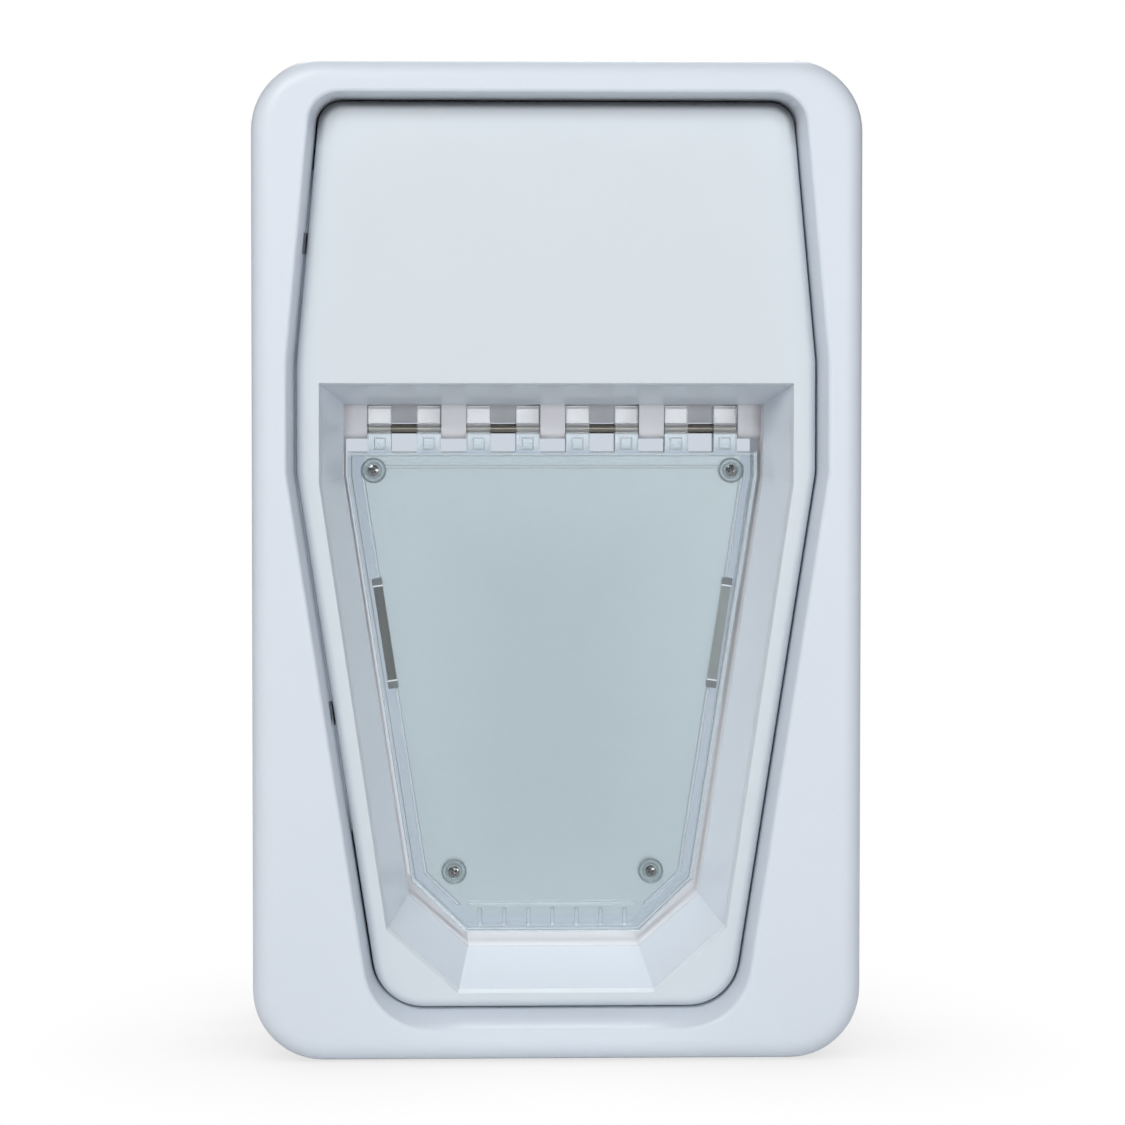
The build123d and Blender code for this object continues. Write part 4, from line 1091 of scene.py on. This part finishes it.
boardSet = {
    "front": -25.1 * mm,
    # places as X and Z in mm, and for the cans also their radius and height
    "resistors": (
        (-62, 80), (-58, 80), (-54, 80), (-62, 90), (-50, 90), (-44, 78), (-20, 78), (-20, 91), (20, 78),
        (20, 91), (24, 91), (44, 78), (48, 78), (52, 78), (58, 90), (62, 90),
    ),
    "cans": ((-44, 88, 2.6, 4.2), (40, 89, 2.1, 3.6), (62, 80, 3.1, 4.4)),
    "crystal": (-22.0, 84.4),
    "sockets": ((-56.0, 85.0), (50.0, 85.5)),
    # blocks: half width, half height, how far the front and the back stand out, corner and chamfer, in mm
    "chipBody": (0.65, 0.65, 0.62, 0.0, 0.05, 0.03),
    "chipEnd": (0.25, 0.67, 0.66, 0.0, 0.08, 0.04),
    "crystalCan": (2.2, 4.2, 2.2, 0.0, 2.15, 0.25),
    "socketFloor": (4.0, 2.2, 0.8, 0.0, 0.3, 0.1),
    "socketWall": (4.0, 0.3, 3.6, 0.8, 0.2, 0.1),
    "socketPin": (0.25, 0.25, 3.2, 0.8, 0.08, 0.08),
    "canFoot": (0.5, 0.0, 0.7, 0.05),  # the same without the half sizes
    "footMargin": 0.2,  # how far a foot reaches past its can
    "endShift": 0.92, "wallShift": 1.9, "pinSpacing": 1.8, "pins": 4,
    # a can's outline, as shares of its height above the foot and of its radius
    "canShape": ((0.0, 1.0), (0.12, 1.0), (0.16, 0.93), (0.22, 0.93), (0.27, 1.0), (0.94, 1.0), (1.0, 0.92)),
    "canSteps": 28,
}


def makeBoardParts(s):
    front = s["front"]

    def block(x, z, halfX, halfZ, out, back, corner, chamfer):
        low = ((x - halfX) * mm, front - out * mm, (z - halfZ) * mm)
        high = ((x + halfX) * mm, front - back * mm, (z + halfZ) * mm)
        return makeSlab(low, high, corner * mm, chamfer * mm)

    def can(x, z, radius, height):
        foot = s["canFoot"][0]
        turns = fullTurn(s["canSteps"])
        x, z, rings = x * mm, z * mm, []
        for up, wide in s["canShape"]:
            y, reach = front - (foot + (height - foot) * up) * mm, radius * mm * wide
            rings.append([(x + reach * math.cos(turn), y, z + reach * math.sin(turn)) for turn in turns])
        return joinRings(rings, (x, front - foot * mm, z), (x, front - height * mm, z))

    chips = [block(x, z, *s["chipBody"]) for x, z in s["resistors"]]
    ends = [block(x + side * s["endShift"], z, *s["chipEnd"]) for x, z in s["resistors"] for side in (-1, 1)]
    cans = [can(*values) for values in s["cans"]] + [block(*s["crystal"], *s["crystalCan"])]
    feet, sockets, pins = [], [], []
    for x, z, radius, height in s["cans"]:
        half = radius + s["footMargin"]
        feet.append(block(x, z, half, half, *s["canFoot"]))
    for x, z in s["sockets"]:
        sockets.append(block(x, z, *s["socketFloor"]))
        sockets.extend(block(x, z + side * s["wallShift"], *s["socketWall"]) for side in (-1, 1))
        for step in range(s["pins"]):
            along = (step - (s["pins"] - 1) / 2) * s["pinSpacing"]
            pins.append(block(x + along, z, *s["socketPin"]))
    makePiece("boardChips", *gather(chips), "blackPlastic", "frame", "black_plastic")
    makePiece("chipEnds", *gather(ends), "zincSteel", "frame", "zinc_steel")
    makePiece("boardCans", *gather(cans), "zincSteel", "frame", "zinc_steel")
    makePiece("canFeet", *gather(feet), "blackPlastic", "frame", "black_plastic")
    makePiece("boardSockets", *gather(sockets), "innerWhite", "frame", "white_plastic")
    makePiece("socketPins", *gather(pins), "zincSteel", "frame", "zinc_steel")


makeBoardParts(boardSet)
print("board parts made")
